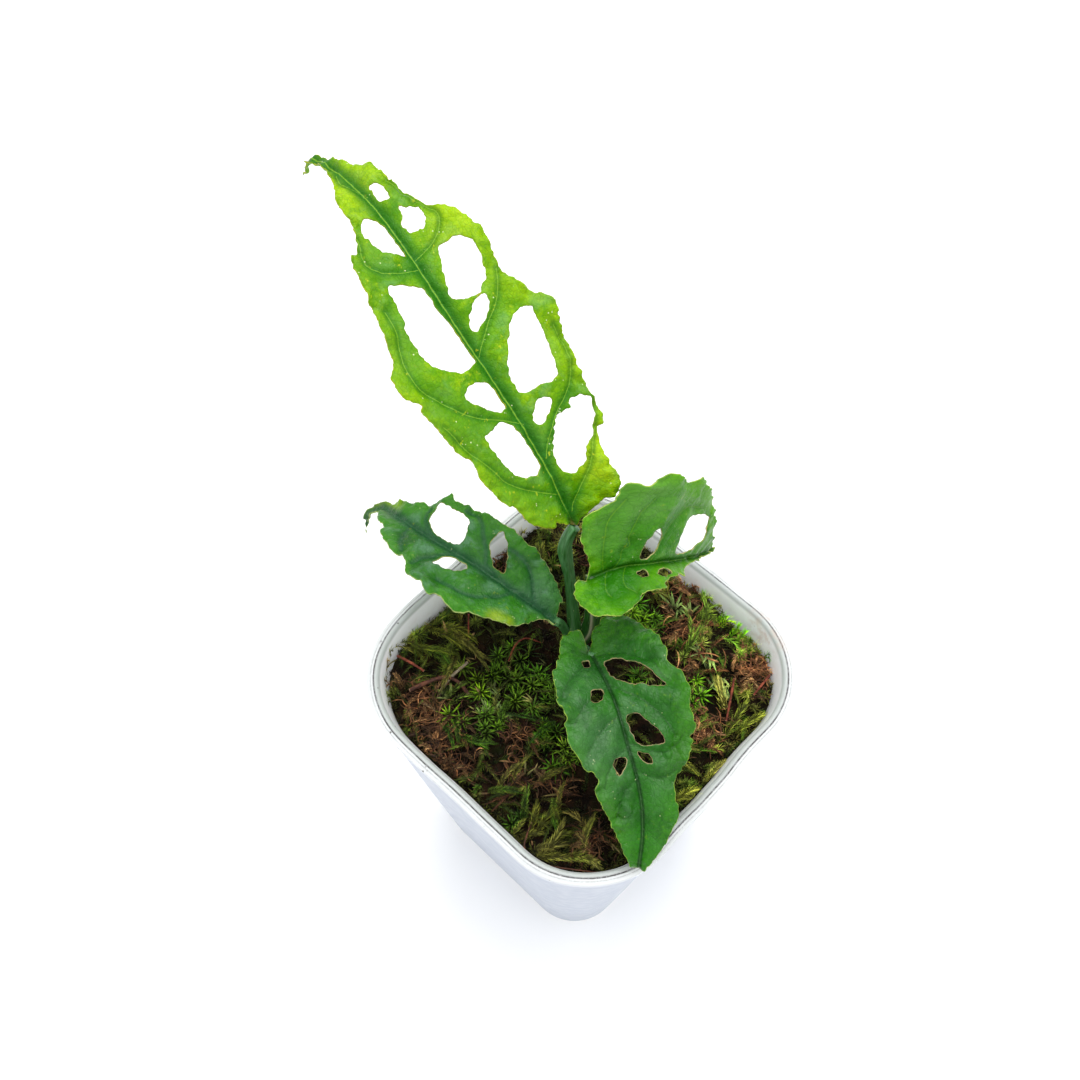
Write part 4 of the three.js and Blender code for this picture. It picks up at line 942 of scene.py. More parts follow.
# Sticks are thinner here than in the part, where they have to be sound solids; these two least so
THICK = ("root_left", "stick_pale")
# Shifts that keep a stick's place in the photo while it lies over or under its neighbours
SHIFTS = {"root_left": (0.9, -0.9, 2.2), "stick_pale": (-0.56, 0.6, -1.4), "twig_front": (0.8, -0.8, -0.6)}


def stick_piece(name, seed):
    radius, path = STICKS[name]

    def knots(angle, run):
        bumps = 0.10 * np.sin(17 * run + seed + 2 * angle)
        return 0.88 + (bumps + 0.07 * np.sin(41 * run + 3 * angle + 2 * seed)) * 0.8

    lifted = np.array(path, float) + SHIFTS.get(name, (0.3, -0.3, 0.8))
    thick = radius * (0.75 if name in THICK else 0.5)
    points, faces, values, around = sweep(lifted, (thick, thick * 0.8), (0.3, 0.2, 1), 16, 70, knots)
    values["end"] = np.clip(1 - np.minimum(values["rise"], 1 - values["rise"]) / 0.012, 0, 1)
    piece = make_piece(name + "_bark", points, faces, BARK.get(name, RED_BARK), values)
    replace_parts(piece, name)


for number, name in enumerate(STICKS):
    stick_piece(name, number)


# Pot
def square_ring(half, corner, out, z):
    """Points at height z round a square with round corners, a way out from it."""
    corners = [(1, 1), (-1, 1), (-1, -1), (1, -1)]
    arc_steps, side_steps = 20, 22
    points = []
    for quarter in range(4):
        start = quarter * math.pi / 2
        angle = start + np.linspace(0, math.pi / 2, arc_steps, endpoint=False)
        turn, after = (np.array(corners[(quarter + k) % 4]) * (half - corner) for k in (0, 1))
        size = corner + out
        points.append(np.c_[turn[0] + size * np.cos(angle), turn[1] + size * np.sin(angle)])
        way = size * np.array((math.cos(start + math.pi / 2), math.sin(start + math.pi / 2)))
        a, b = turn + way, after + way
        points.append(a + (b - a) * np.linspace(0, 1, side_steps, endpoint=False)[:, None])
    flat = np.vstack(points)
    return np.c_[flat, np.full(len(flat), z)]


def wall_at(z):
    """Half the width of the pot's outside and the radius of its corners, at height z."""
    share = z / POT["height"]
    half = POT["base_half"] + (POT["top_half"] - POT["base_half"]) * share
    corner = POT["base_corner"] + (POT["top_corner"] - POT["base_corner"]) * share
    return half, corner


def pot_section():
    """The wall's section as height and way out from the wall's outer face: up outside, down inside."""
    top, wall, lip, deep = POT["height"], POT["wall"], POT["lip_out"], POT["wall"] + POT["band"]
    under = top - POT["lip_drop"]
    section = [(0, -1.2), (0.08, -0.8), (0.36, -0.36), (0.8, -0.1), (1.2, 0)]
    section += [(z, 0) for z in np.linspace(1.2, under - 0.4, 34)[1:]]
    section += [(under - 0.1, 0.05), (under - 0.05, 0.5)]
    section += [(under + rise, lip - back) for rise, back in ((0, 0.35), (0.2, 0.08), (0.6, 0))]
    section += [(top - drop, lip - back) for drop, back in ((1.3, 0), (0.9, 0), (0.62, 0), (0.45, 0.25))]
    section += [(top - drop, out) for drop, out in CREST]
    section += [(top - 7.6, -deep), (top - 10.5, -deep), (top - 12.3, -2.9), (top - 13.2, -2.0)]
    section += [(top - 13.9, -wall)]
    section += [(z, -wall) for z in np.linspace(top - 13.9, POT["floor"] + 1.5, 26)[1:]]
    section += [(POT["floor"] + 0.5, -wall - 0.5), (POT["floor"], -wall - 1.5)]
    return np.array(section)


def pot_rings(section):
    """The section carried round the pot, with the rim's sway, shift and bulges: (rings, places, 3)."""
    z, out = section.T
    grid = np.array([square_ring(*wall_at(height), way, height) for height, way in section])
    middle = grid[20]
    away = unit(middle - middle.mean(0))
    sway = np.minimum(ripples(middle[:, :2], 34, 12) - 0.9, 0)
    high = np.clip((z - 20) / 80, 0, 1) ** 2
    grid += away[None] * (0.26 * sway)[None, :, None] * high[:, None, None]
    grid[:, :, 1] += (POT["rim_shift"] * np.clip((z - 92) / 12, 0, 1))[:, None]
    bulge = sum(
        size * bell(np.hypot(middle[:, 0] - x, middle[:, 1] - y), reach) for x, y, reach, size in BULGES
    )
    grid += away[None] * 0.7 * bulge[None, :, None] * np.clip((out - 0.3) / 0.6, 0, 1)[:, None, None]
    outer = np.clip((out + 0.2) / 1.2, 0, 1)
    grid[:, :, 2] -= 0.22 * outer[:, None] * (0.5 + 0.5 * ripples(middle[:, :2], 23, 14))[None]
    return grid


def pot_values(points, z, out):
    """Where the plastic is creased, soiled, stained, damp, outside or on the inner crest, for its paint:
    crease, outside and crest also mark painted shade.
    """
    crest = z > POT["height"] - 1.3
    under = POT["height"] - POT["lip_drop"]
    inner = out < 0.02 - POT["wall"]
    # crease marks the grooves and the line under the lip, for painted shade and for soil
    crease = bell(out + 0.92, 0.2) * crest
    crease = np.maximum(crease, 0.4 * bell(out + 0.08, 0.12) * crest)
    stained = bell(np.linalg.norm(points - np.array((30, 46, 109)), axis=1), 8)
    return {
        "crease": np.maximum(crease, 0.5 * bell(z - under, 0.4) * (out > 0.02)),
        "damp": np.where(inner, np.clip((MOSS["level"] + 0.4 - z) / 3.5, 0, 1), 0),
        "grime": np.clip((z - 96) / 8, 0, 1),
        "stain": np.maximum(stained, 0.3 * inner * bell(z - 104, 3)),
        # outside and crest mark painted shade: the bluish-grey outer walls and the grey inner side of the crest
        "outside": np.where(out > -0.05, np.clip(109.2 - z, 0, 1), 0),
        "crest": np.where(crest, np.clip((-0.9 - out) / 0.2, 0.5, 1), 0),
    }


def pot_floor(points, rings, n):
    """The underside and the floor inside, with four round holes through: more points and faces."""
    turns = np.linspace(0, 2 * math.pi, 28, endpoint=False)
    circle = POT["drain_radius"] * np.c_[np.cos(turns), np.sin(turns)]
    drains = [circle + POT["drain_place"] * np.array((x, y)) for x in (-1, 1) for y in (-1, 1)]
    side, base = len(turns), len(points)
    extra, faces = [], []
    for level, first in ((0.0, 0), (float(POT["floor"]), (rings - 1) * n)):
        loops = [points[first : first + n, :2]] + drains
        flat = np.vstack(loops)
        tris = np.array(delaunay_2d_cdt([Vector(p) for p in flat], loop_edges(loops), [], 0, 1e-6)[2])
        tris = anticlockwise(flat, tris[within(flat[tris].mean(1), loops)])
        if level == 0.0:
            tris = tris[:, ::-1]
        holes = base + len(extra) * 4 * side + np.arange(4 * side)
        faces.append(np.r_[np.arange(first, first + n), holes][tris])
        extra.append(np.c_[np.vstack(drains), np.full(4 * side, level)])
    for k in range(4):
        low = base + k * side + np.arange(side)
        faces.append(np.c_[low, low + 4 * side, np.roll(low, -1) + 4 * side, np.roll(low, -1)])
    return np.vstack(extra), faces


def pot_piece():
    section = pot_section()
    grid = pot_rings(section)
    rings, n = grid.shape[:2]
    points = grid.reshape(-1, 3)
    values = pot_values(points, *np.repeat(section, n, axis=0).T)
    extra, more = pot_floor(points, rings, n)
    values = {key: np.r_[data, np.zeros(len(extra))] for key, data in values.items()}
    piece = make_piece("pot_shell", np.vstack([points, extra]), bands(rings, n) + more, pot_paint(), values)
    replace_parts(piece, "pot")


pot_piece()


# Moss
# The part's own lumps, drawn in its order, then the mounds. NEEDLE and FOLDED are leaflets' sections.
draw = mulberry(11)
lumps = np.array([
    (92 * (draw() - 0.5), 92 * (draw() - 0.5), 4 + 4 * draw(), MOSS["lump"] * (1.7 * draw() - 0.6))
    for _ in range(MOSS["lumps"])
] + MOUNDS + HEAPED)
NEEDLE = ((1, 0), (0, 0.5), (-1, 0))
FOLDED = ((1, 0.3), (0, 0), (-1, 0.3), (0, -0.3))


def from_wall(points, z=MOSS["level"]):
    """Distance of flat points from the rim band's inner face at height z, positive inside."""
    half, corner = wall_at(z)
    shift = np.array((0, POT["rim_shift"]))
    gap = np.abs(points - shift) - np.reshape(half - corner, (-1, 1))
    outside = np.hypot(*np.maximum(gap, 0).T)
    return corner - POT["wall"] - POT["band"] - outside - np.minimum(gap.max(1), 0)


def kept_in(points, room=0.3):
    """The points, moved in where they would pass through the pot's wall."""
    z = np.minimum(points[:, 2], POT["height"])
    half, corner = wall_at(z)
    past = np.maximum(np.abs(points[:, :2]) - (half - corner)[:, None], 0)
    push = np.minimum(from_wall(points[:, :2], z) - room, 0)
    out = points.copy()
    out[:, :2] += np.sign(points[:, :2]) * unit(past) * push[:, None]
    return out


def moss_top(points):
    """Height of the moss bed at flat points: the part's lumps and hollows, lower at the walls."""
    near = np.exp(-np.maximum(from_wall(points), 0) / 3)
    z = MOSS["level"] - MOSS["edge_drop"] * near
    for x, y, reach, height in lumps:
        z = z + height * np.exp(-((points[:, 0] - x) ** 2 + (points[:, 1] - y) ** 2) / reach**2)
    return z


def on_moss(points, lift):
    """Flat points raised to the bed, and above it by lift."""
    points = np.asarray(points, float).reshape(-1, 2)
    return np.c_[points, moss_top(points) + lift]


class Heap:
    """Gathers many small closed solids, then makes them one piece."""

    def __init__(self):
        self.points, self.faces, self.tints, self.count = [], [], [], 0

    def put(self, points, faces, tints):
        """points (n, k, 3), faces (m, 3) of one solid, tints (n, k, 3)."""
        n, k = points.shape[:2]
        if sum(volume(p, [faces]) for p in points[:9]) < 0:
            faces = faces[:, ::-1]
        place = self.count + np.arange(n)[:, None, None] * k
        self.faces.append((faces[None] + place).reshape(-1, 3))
        self.points.append(points.reshape(-1, 3))
        self.tints.append(np.broadcast_to(tints, points.shape).reshape(-1, 3))
        self.count += n * k

    def leaflets(self, base, way, side, length, width, droop, foot, tip, widths, section=NEEDLE, edge=None):
        """Tapered leaflets, as (shoots, leaves) arrays. widths is the width at each ring."""
        args = (base, way, side, length, width, droop, foot, tip)
        base, way, side, length, width, droop, foot, tip = (a.reshape((-1,) + a.shape[2:]) for a in args)
        rings, tints = [], []
        shares = np.linspace(0, 1, len(widths) + 1)
        normal = np.cross(way, side)
        reach = way * length[:, None]
        for share, wide in zip(shares, widths):
            middle = base + reach * share + droop * share**2
            colour = foot + (tip - foot) * share
            for across, up in section:
                off = side * (across * wide) + normal * (up * wide)
                rings.append(middle + off * width[:, None])
                tints.append(colour if edge is None or across == 0 else edge * 0.4 + colour * 0.6)
        rings.append(base + reach + droop)
        tints.append(tip)
        k, last = len(section), (len(widths) - 1) * len(section)
        faces = [(1, 0, 2)] if k == 3 else [(1, 0, 3), (1, 3, 2)]
        for r in range(len(widths) - 1):
            for i in range(k):
                a, b = r * k + i, r * k + (i + 1) % k
                faces += [(a, b, b + k), (a, b + k, a + k)]
        faces += [(last + i, last + (i + 1) % k, last + k) for i in range(k)]
        self.put(np.stack(rings, 1), np.array(faces), np.stack(tints, 1))

    def threads(self, paths, radius, tints):
        """Thin three-sided tubes along paths (n, k, 3) with radius (n, k)."""
        sides = 3
        n, k = paths.shape[:2]
        way = unit(np.gradient(paths, axis=1))
        side = unit(np.cross(way, (0.31, 0.17, 0.94)))
        up = np.cross(way, side)
        angles = 2 * math.pi * np.arange(sides) / sides
        rings = [paths + (side * math.cos(a) + up * math.sin(a)) * radius[..., None] for a in angles]
        points = np.stack(rings, 2).reshape(n, k * sides, 3)
        faces = []
        for r in range(k - 1):
            for i in range(sides):
                a, b = r * sides + i, r * sides + (i + 1) % sides
                faces += [(a, b, b + sides), (a, b + sides, a + sides)]
        end = (k - 1) * sides
        faces += [(0, 2, 1), (end, end + 1, end + 2)]
        self.put(points, np.array(faces), np.repeat(np.broadcast_to(tints, (n, k, 3)), sides, 1))

    def piece(self, name, material):
        """The piece: painted shade low down and painted light on top, lighter or darker in clumps, and more
        painted light at the right back and the left.
        """
        points, faces, tints = (np.vstack(data) for data in (self.points, self.faces, self.tints))
        # Painted shade: darker the lower a point lies above the bed, brighter on top
        high = np.clip(0.5 + 0.34 * (points[:, 2] - moss_top(points[:, :2])), 0.3, 1.55)
        clump = np.clip(1 + 0.3 * ripples(points[:, :2], 5, 77), 0.5, 1.7)
        tints = tints * (high * clump)[:, None]
        # Painted light: brighter towards the right back, where the light falls, and at the open left corner
        painted_light = 0.9 + 1.05 * np.clip((points[:, 0] + points[:, 1] + 5) / 60, 0, 1) ** 1.5
        painted_light += 0.3 * np.clip((-points[:, 0] - 22) / 16, 0, 1) * np.clip((points[:, 1] + 34) / 12, 0, 1)
        return make_piece(name, kept_in(points), [faces], material, tint=tints * painted_light[:, None])


def turned(first, second, angle):
    """The way at an angle from the first way towards the second."""
    return first * np.cos(angle)[..., None] + second * np.sin(angle)[..., None]


def tone(*screen):
    return np.array(srgb(*screen)[:3])


def scatter(rng, tints, n, spread=0.22):
    """n colours, each mixed from the given ones, lighter or darker."""
    weights = rng.dirichlet(np.full(len(tints), 0.5), n)
    return (weights @ np.array(tints)) * rng.lognormal(0, spread, (n, 1))


def stars(heap, rng, feet, size, tints, leaves=20, slim=0.045, bright=(1.0, 2.2)):
    """Starry shoots: narrow leaflets that spread from a short upright stalk."""
    n = len(feet)
    axis = unit(np.c_[rng.normal(0, 0.42, (n, 2)), np.ones(n)])
    turn = rng.uniform(0, 2 * math.pi, n)
    shade = scatter(rng, tints, n)
    j = np.arange(leaves)
    share = (j + 0.5) / leaves
    lean = np.radians(18 + 66 * share)[None] + rng.normal(0, 0.14, (n, leaves))
    angle = turn[:, None] + GOLDEN * j[None]
    flat_x = unit(np.cross(axis, (0.2, 1, 0.1)))
    flat_y = np.cross(axis, flat_x)
    radial = turned(flat_x[:, None], flat_y[:, None], angle)
    way = turned(axis[:, None], radial, lean)
    base = feet[:, None] + axis[:, None] * (size[:, None] * 0.55 * (1 - share))[..., None]
    length = size[:, None] * rng.uniform(0.75, 1.15, (n, leaves)) * (0.65 + 0.35 * share)
    side = unit(np.cross(way, axis[:, None]) + 1e-4)
    droop = (radial * 0.15 - np.array((0, 0, 0.22))) * length[..., None]
    tip = shade[:, None] * rng.uniform(*bright, (n, leaves))[..., None]
    foot = np.broadcast_to(shade[:, None] * 0.3, tip.shape)
    heap.leaflets(base, way, side, length, slim * length + 0.06, droop, foot, tip, (0.7, 1.0))


def plumes(
    heap, rng, feet, heading, length, arch, wide, tints,
    pitch=0.2, spread=0.18, bright=(1.2, 3.4), rings=(1.0, 0.8),
):
    """Feathery shoots: fine leaflets all along an arched stalk, curving forward."""
    n, curl = len(feet), rng.normal(0, 0.25, len(feet))
    u = np.linspace(0, 1, 9)[None, :, None]
    ahead = np.c_[np.cos(heading), np.sin(heading), 0 * heading][:, None]
    beside = np.cross((0, 0, 1.0), ahead)
    # Shorter where the whole length would run into the wall
    reach = ahead[:, 0, :2] * length[:, None]
    fits = [t * (from_wall(feet[:, :2] + reach * t) > 1.1) for t in (0.3, 0.5, 0.7, 0.85, 1)]
    length = length * np.maximum(np.max(fits, 0), 0.3)
    rise = np.sin(2.6 * u) * arch[:, None, None] * np.array((0, 0, 1.0))
    path = feet[:, None] + length[:, None, None] * (ahead * u + beside * curl[:, None, None] * u**2) + rise
    shade = scatter(rng, tints, n, spread)
    heap.threads(path, np.full(path.shape[:2], 0.15), shade[:, None] * 0.5)
    leaves = int(length.mean() / pitch)
    j = np.arange(leaves)
    u = (j + 0.5) / leaves
    low = np.minimum((u * 8).astype(int), 7)
    part = (u * 8 - low)[None, :, None]
    base = path[:, low] * (1 - part) + path[:, low + 1] * part
    way = unit(path[:, low + 1] - path[:, low])
    side = unit(np.cross(way, (0, 0, 1.0)))
    up = np.cross(side, way)
    phi = np.where(j % 2, 1, -1)[None] * np.radians(rng.uniform(30, 100, (n, leaves)))
    radial = turned(up, side, phi)
    opened = np.radians(72 - 38 * u)[None] + rng.normal(0, 0.1, (n, leaves))
    taper = np.sin(math.pi * np.clip(0.25 + 0.68 * u, 0, 1)) ** 0.7
    size = wide[:, None] * taper[None] * rng.uniform(0.82, 1.12, (n, leaves))
    leaf_way = turned(way, radial, opened)
    leaf_side = unit(np.cross(leaf_way, radial) + 1e-4)
    droop = way * (0.55 * size)[..., None] - radial * (0.2 * size)[..., None]
    tip = shade[:, None] * rng.uniform(*bright, (n, leaves))[..., None]
    foot = np.broadcast_to(shade[:, None] * 0.22, tip.shape)
    width = np.broadcast_to(0.1 + 0.02 * size, size.shape)
    heap.leaflets(base, leaf_way, leaf_side, size, width, droop, foot, tip, rings)


def blades(heap, rng, feet, size, tints, edge, leaves=5):
    """Tufts of long slim folded leaves."""
    n = len(feet)
    turn = rng.uniform(0, 2 * math.pi, n)
    shade = scatter(rng, tints, n)
    angle = turn[:, None] + rng.normal(0, 0.55, (n, leaves))
    lean = rng.uniform(0.5, 1.3, (n, leaves)) * 0.8
    radial = np.stack([np.cos(angle), np.sin(angle), 0 * angle], 2)
    way = turned(np.array((0, 0, 1.0)), radial, lean)
    side = np.stack([-np.sin(angle), np.cos(angle), 0 * angle], 2)
    length = size[:, None] * rng.uniform(0.6, 1.15, (n, leaves))
    droop = (radial * 0.28 - np.array((0, 0, 0.42))) * length[..., None]
    tip = shade[:, None] * rng.uniform(1.0, 2.0, (n, leaves))[..., None]
    foot = np.broadcast_to(shade[:, None] * 0.35, tip.shape)
    base = feet[:, None] + radial * 0.35
    width = 0.045 * length + 0.1
    heap.leaflets(base, way, side, length, width, droop, foot, tip, (0.6, 1.0, 0.9, 0.55), FOLDED, edge)


def fibres(heap, rng, place, reach, n, tints):
    """Matted dry fibres round a place, mostly lying one way."""
    grain = rng.uniform(0, math.pi)
    start = np.array(place) + rng.normal(0, 1, (n, 2)) * reach / 1.8
    start = start[from_wall(start) > 1.2]
    n = len(start)
    heading = grain + rng.normal(0, 0.75, n) + math.pi * rng.integers(0, 2, n)
    length = rng.uniform(2.5, 7, n)
    u = np.linspace(-0.5, 0.5, 6)
    angle = heading[:, None] + rng.normal(0, 0.9, n)[:, None] * u * 2
    flat = start[:, None] + np.stack([np.cos(angle), np.sin(angle)], 2) * (length[:, None] * u)[..., None]
    ground = moss_top(flat.reshape(-1, 2)).reshape(n, -1)
    lift = rng.uniform(-0.3, 2.0, n)[:, None] + rng.normal(0, 0.9, n)[:, None] * u * 2
    z = ground + lift + rng.uniform(0, 1.2, n)[:, None] * (1 - (2 * u) ** 2)
    paths = np.concatenate([flat, z[..., None]], 2)
    radius = rng.uniform(0.06, 0.2, n)[:, None] * (1 - (1.7 * np.abs(u)) ** 3 * 0.9)
    heap.threads(paths, radius, scatter(rng, tints, n, 0.7)[:, None])


def flakes(heap, rng, feet, tints):
    """Curled leaf scraps that lie at all angles."""
    n = len(feet)
    angle, lean = rng.uniform(0, 2 * math.pi, n), rng.uniform(-0.3, 0.6, n)
    way = np.c_[np.cos(angle) * np.cos(lean), np.sin(angle) * np.cos(lean), np.sin(lean)]
    side = unit(np.cross(way, unit(rng.normal(size=(n, 3)) + (0, 0, 1.2))))
    length = rng.uniform(1.2, 3.6, n)
    shade = scatter(rng, tints, n, 0.45)
    droop = rng.normal(0, 0.22, (n, 3)) * length[:, None]
    args = (feet, way, side, length, length * rng.uniform(0.07, 0.2, n), droop, shade * 0.5, shade * 1.3)
    heap.leaflets(*(a[:, None] for a in args), (0.4, 1.0, 0.8, 0.5), FOLDED)


GREENS = [tone(62, 100, 18), tone(46, 80, 14), tone(98, 120, 40)]
OLIVES = [tone(108, 110, 38), tone(126, 122, 60), tone(80, 90, 24)]
BRIGHT = [tone(84, 136, 8), tone(58, 112, 6), tone(112, 146, 14)]
SHADY = [tone(44, 62, 12), tone(62, 62, 20), tone(60, 40, 20)]
BLADES = [tone(72, 108, 34), tone(52, 92, 24), tone(104, 112, 50)]
BROWNS = [tone(104, 64, 40), tone(66, 38, 24), tone(138, 96, 62), tone(84, 60, 32)]
DARKS = [tone(52, 30, 20), tone(70, 40, 24), tone(40, 26, 18)]
STRAWS = [tone(150, 120, 80), tone(126, 94, 60), tone(168, 144, 104)]
PALE_EDGE = tone(170, 180, 124)

# Plumes, some placed by the photo and some to fill: foot, heading in degrees, length, leaflets'
# length, colours
PLUMES = [
    (-45, -25, 20, 13, 2.2, OLIVES), (-42, -17, 20, 14, 2.4, OLIVES), (-36, -14, -20, 15, 2.2, OLIVES),
    (-44, -12, 70, 9, 2.0, GREENS), (-33, -19, -50, 13, 2.0, OLIVES), (-39, -8, 30, 12, 2.2, GREENS),
    (-38, -22, 10, 10, 2.0, GREENS), (-45, -32, 60, 8, 2.0, OLIVES),
    (-43, -37, 95, 8, 2.0, STRAWS + OLIVES), (-34, -34, 178, 11, 1.6, STRAWS + BROWNS),
    (-36, -37, -165, 8, 1.4, STRAWS + BROWNS), (-34, -40, -110, 7, 1.7, OLIVES),
    (-42, -42, 130, 6, 1.8, GREENS), (-22, -30, 60, 9, 1.8, GREENS), (-18, -33, -20, 10, 1.9, GREENS),
    (-12, -35, 20, 8, 1.8, GREENS), (3, -39, 30, 9, 1.8, GREENS), (8, -36, 100, 9, 1.7, OLIVES),
    (16, -38, 120, 10, 1.7, GREENS), (13, -30, 75, 9, 1.7, OLIVES), (20, -29, -60, 9, 1.8, GREENS),
    (24, -33, 140, 8, 1.6, OLIVES), (31, -39, 42, 14, 2.6, OLIVES), (24, -44, 40, 10, 2.3, OLIVES),
    (27, -42, 85, 11, 2.2, OLIVES), (20, -41, 110, 9, 2.1, OLIVES), (33, -38, 112, 12, 2.0, OLIVES),
    (34, -34, 170, 8, 1.9, STRAWS + OLIVES), (17, -44, 60, 7, 2.0, OLIVES), (41, -22, 95, 13, 2.0, OLIVES),
    (14, 36, 95, 11, 2.0, GREENS), (18, 40, 60, 10, 2.1, BRIGHT), (25, 39, 70, 9, 2.1, BRIGHT),
    (32, 42, 20, 9, 2.0, GREENS), (17, 26, 95, 10, 2.0, GREENS), (41, 16, 90, 12, 2.2, OLIVES),
    (44, 0, 105, 10, 2.0, OLIVES), (42, -8, 85, 10, 2.0, OLIVES), (-10, -16, 300, 12, 1.8, GREENS),
    (4, -14, 250, 12, 1.8, GREENS), (30, 0, 20, 12, 2.0, OLIVES), (4, 34, 150, 12, 2.0, OLIVES),
    (-30, 14, 130, 12, 2.0, OLIVES), (-34, 30, 60, 11, 2.0, OLIVES), (-22, 36, 20, 11, 2.0, GREENS),
    (-40, 20, 90, 10, 2.0, OLIVES), (36, 22, 150, 12, 2.1, OLIVES),
]
# Dry places: x, y, reach, number of fibres
DRY = [
    (-28, -33, 6, 190), (-17, -38, 8, 330), (-8, -41, 6, 220), (-1, -24, 4, 90), (33, -31, 5, 130),
    (2, 41, 6, 120), (11, 32, 5, 170), (33, 38, 7, 260), (34, 13, 6, 190), (16, -27, 5, 110),
    (-24, 34, 7, 120), (-40, 8, 6, 90), (20, 24, 5, 90), (8, -33, 5, 80),
]
# Where starry shoots and where soft tufts grow: x, y, reach
STAR_PLACES = [
    (-17, -5, 5), (-15, -12, 6), (-11, -13, 5), (-17, -23, 4), (-17, -31, 3), (-4, -10, 6), (3, -18, 6),
    (13, -18, 6), (16, -42, 3), (20, 12, 8), (24, 20, 5), (0, 26, 6), (-25, -20, 4), (-8, -28, 4),
]
# Slim leaves: x, y, reach, number of tufts
BLADE_PLACES = [
    (-9, -24, 4, 4), (-12, -19, 3, 2), (22, 30, 5, 4), (32, 25, 5, 5), (6, 36, 5, 3), (-22, -28, 4, 2),
]
SOFT_TUFTS = [
    (-43, -21, 5), (-37, -12, 6), (-30, -22, 5), (27, 41, 6), (16, 30, 5), (38, 33, 4), (-30, 30, 10),
    (44, -2, 6),
]


def nearness(grid, places):
    """How near each flat point is to any of the places, from 0 to 1. A place is x, y, reach."""
    return np.max([bell(np.hypot(*(grid - p[:2]).T), p[2]) for p in places], 0)


def spots(rng, pitch, room, clear=1.4):
    """Unevenly placed points over the bed, clear of its edge, of the stem and of the sticks."""
    line = np.arange(-48, 48.1, pitch)
    grid = np.stack(np.meshgrid(line, line), 2).reshape(-1, 2)
    grid = grid + rng.uniform(-0.75, 0.75, grid.shape) * pitch
    free = np.hypot(grid[:, 0] - STEM["x"], grid[:, 1] - STEM["y"]) > 4.2
    for _, path in STICKS.values():
        free &= distance_to(grid, np.array(path, float)[:, :2] + (0.9, -0.9)) > clear
    return grid[free & (from_wall(grid) > room)]


def crowd(heaps, rng):
    """Covers the whole bed: dark low growth everywhere, then shoots of every kind in drifts."""
    low = spots(rng, 2.9, 0.3, 0)
    stars(heaps["low"], rng, on_moss(low, -1.6), rng.uniform(2.0, 3.2, len(low)), SHADY, 12)
    rim = spots(rng, 1.9, 0.5, 0.8)
    rim = rim[from_wall(rim) < 2.8]
    size = rng.uniform(2.0, 3.2, len(rim))
    stars(heaps["low"], rng, on_moss(rim, -0.5), size, OLIVES + SHADY, 16, 0.03, (1.0, 2.6))
    high = spots(rng, 3.3, 1.2)
    dry = nearness(high, DRY) > rng.uniform(0.3, 0.9, len(high))
    star = nearness(high, STAR_PLACES) > rng.uniform(0.15, 0.7, len(high))
    open_ = ripples(high, 12, 31) > -1.0
    feet = on_moss(high[star & ~dry & open_], -0.5)
    stars(heaps["stars"], rng, feet, rng.uniform(3.4, 5.6, len(feet)), BRIGHT + GREENS, 22, 0.05)
    tuft = (nearness(high, SOFT_TUFTS) > rng.uniform(0.2, 0.8, len(high))) & ~dry
    feet = on_moss(high[tuft], -0.2)
    stars(heaps["tufts"], rng, feet, rng.uniform(2.6, 3.8, len(feet)), OLIVES + GREENS, 44, 0.016, (1.2, 3.4))
    rest = spots(rng, 3.7, 0.9)
    dry = nearness(rest, DRY) > rng.uniform(0.15, 0.8, len(rest))
    gap = ripples(rest, 9, 37) < -1.1
    star = nearness(rest, STAR_PLACES) > 0.5
    drift = 1.6 * ripples(rest, 30, 35)
    kinds = ((~dry & ~star, OLIVES + GREENS, "small_plumes"), (dry, BROWNS + DARKS, "dead_plumes"))
    for chosen, tints, heap in kinds:
        chosen &= ~gap
        feet = on_moss(rest[chosen], -0.7)
        n = len(feet)
        heading = drift[chosen] + rng.normal(0, 1.3, n)
        plumes(
            heaps[heap], rng, feet, heading, rng.uniform(6, 11, n), rng.uniform(1.6, 3.6, n),
            rng.uniform(1.3, 2.0, n), tints, 0.17, 0.35, (1.1, 3.2), (1.0,),
        )


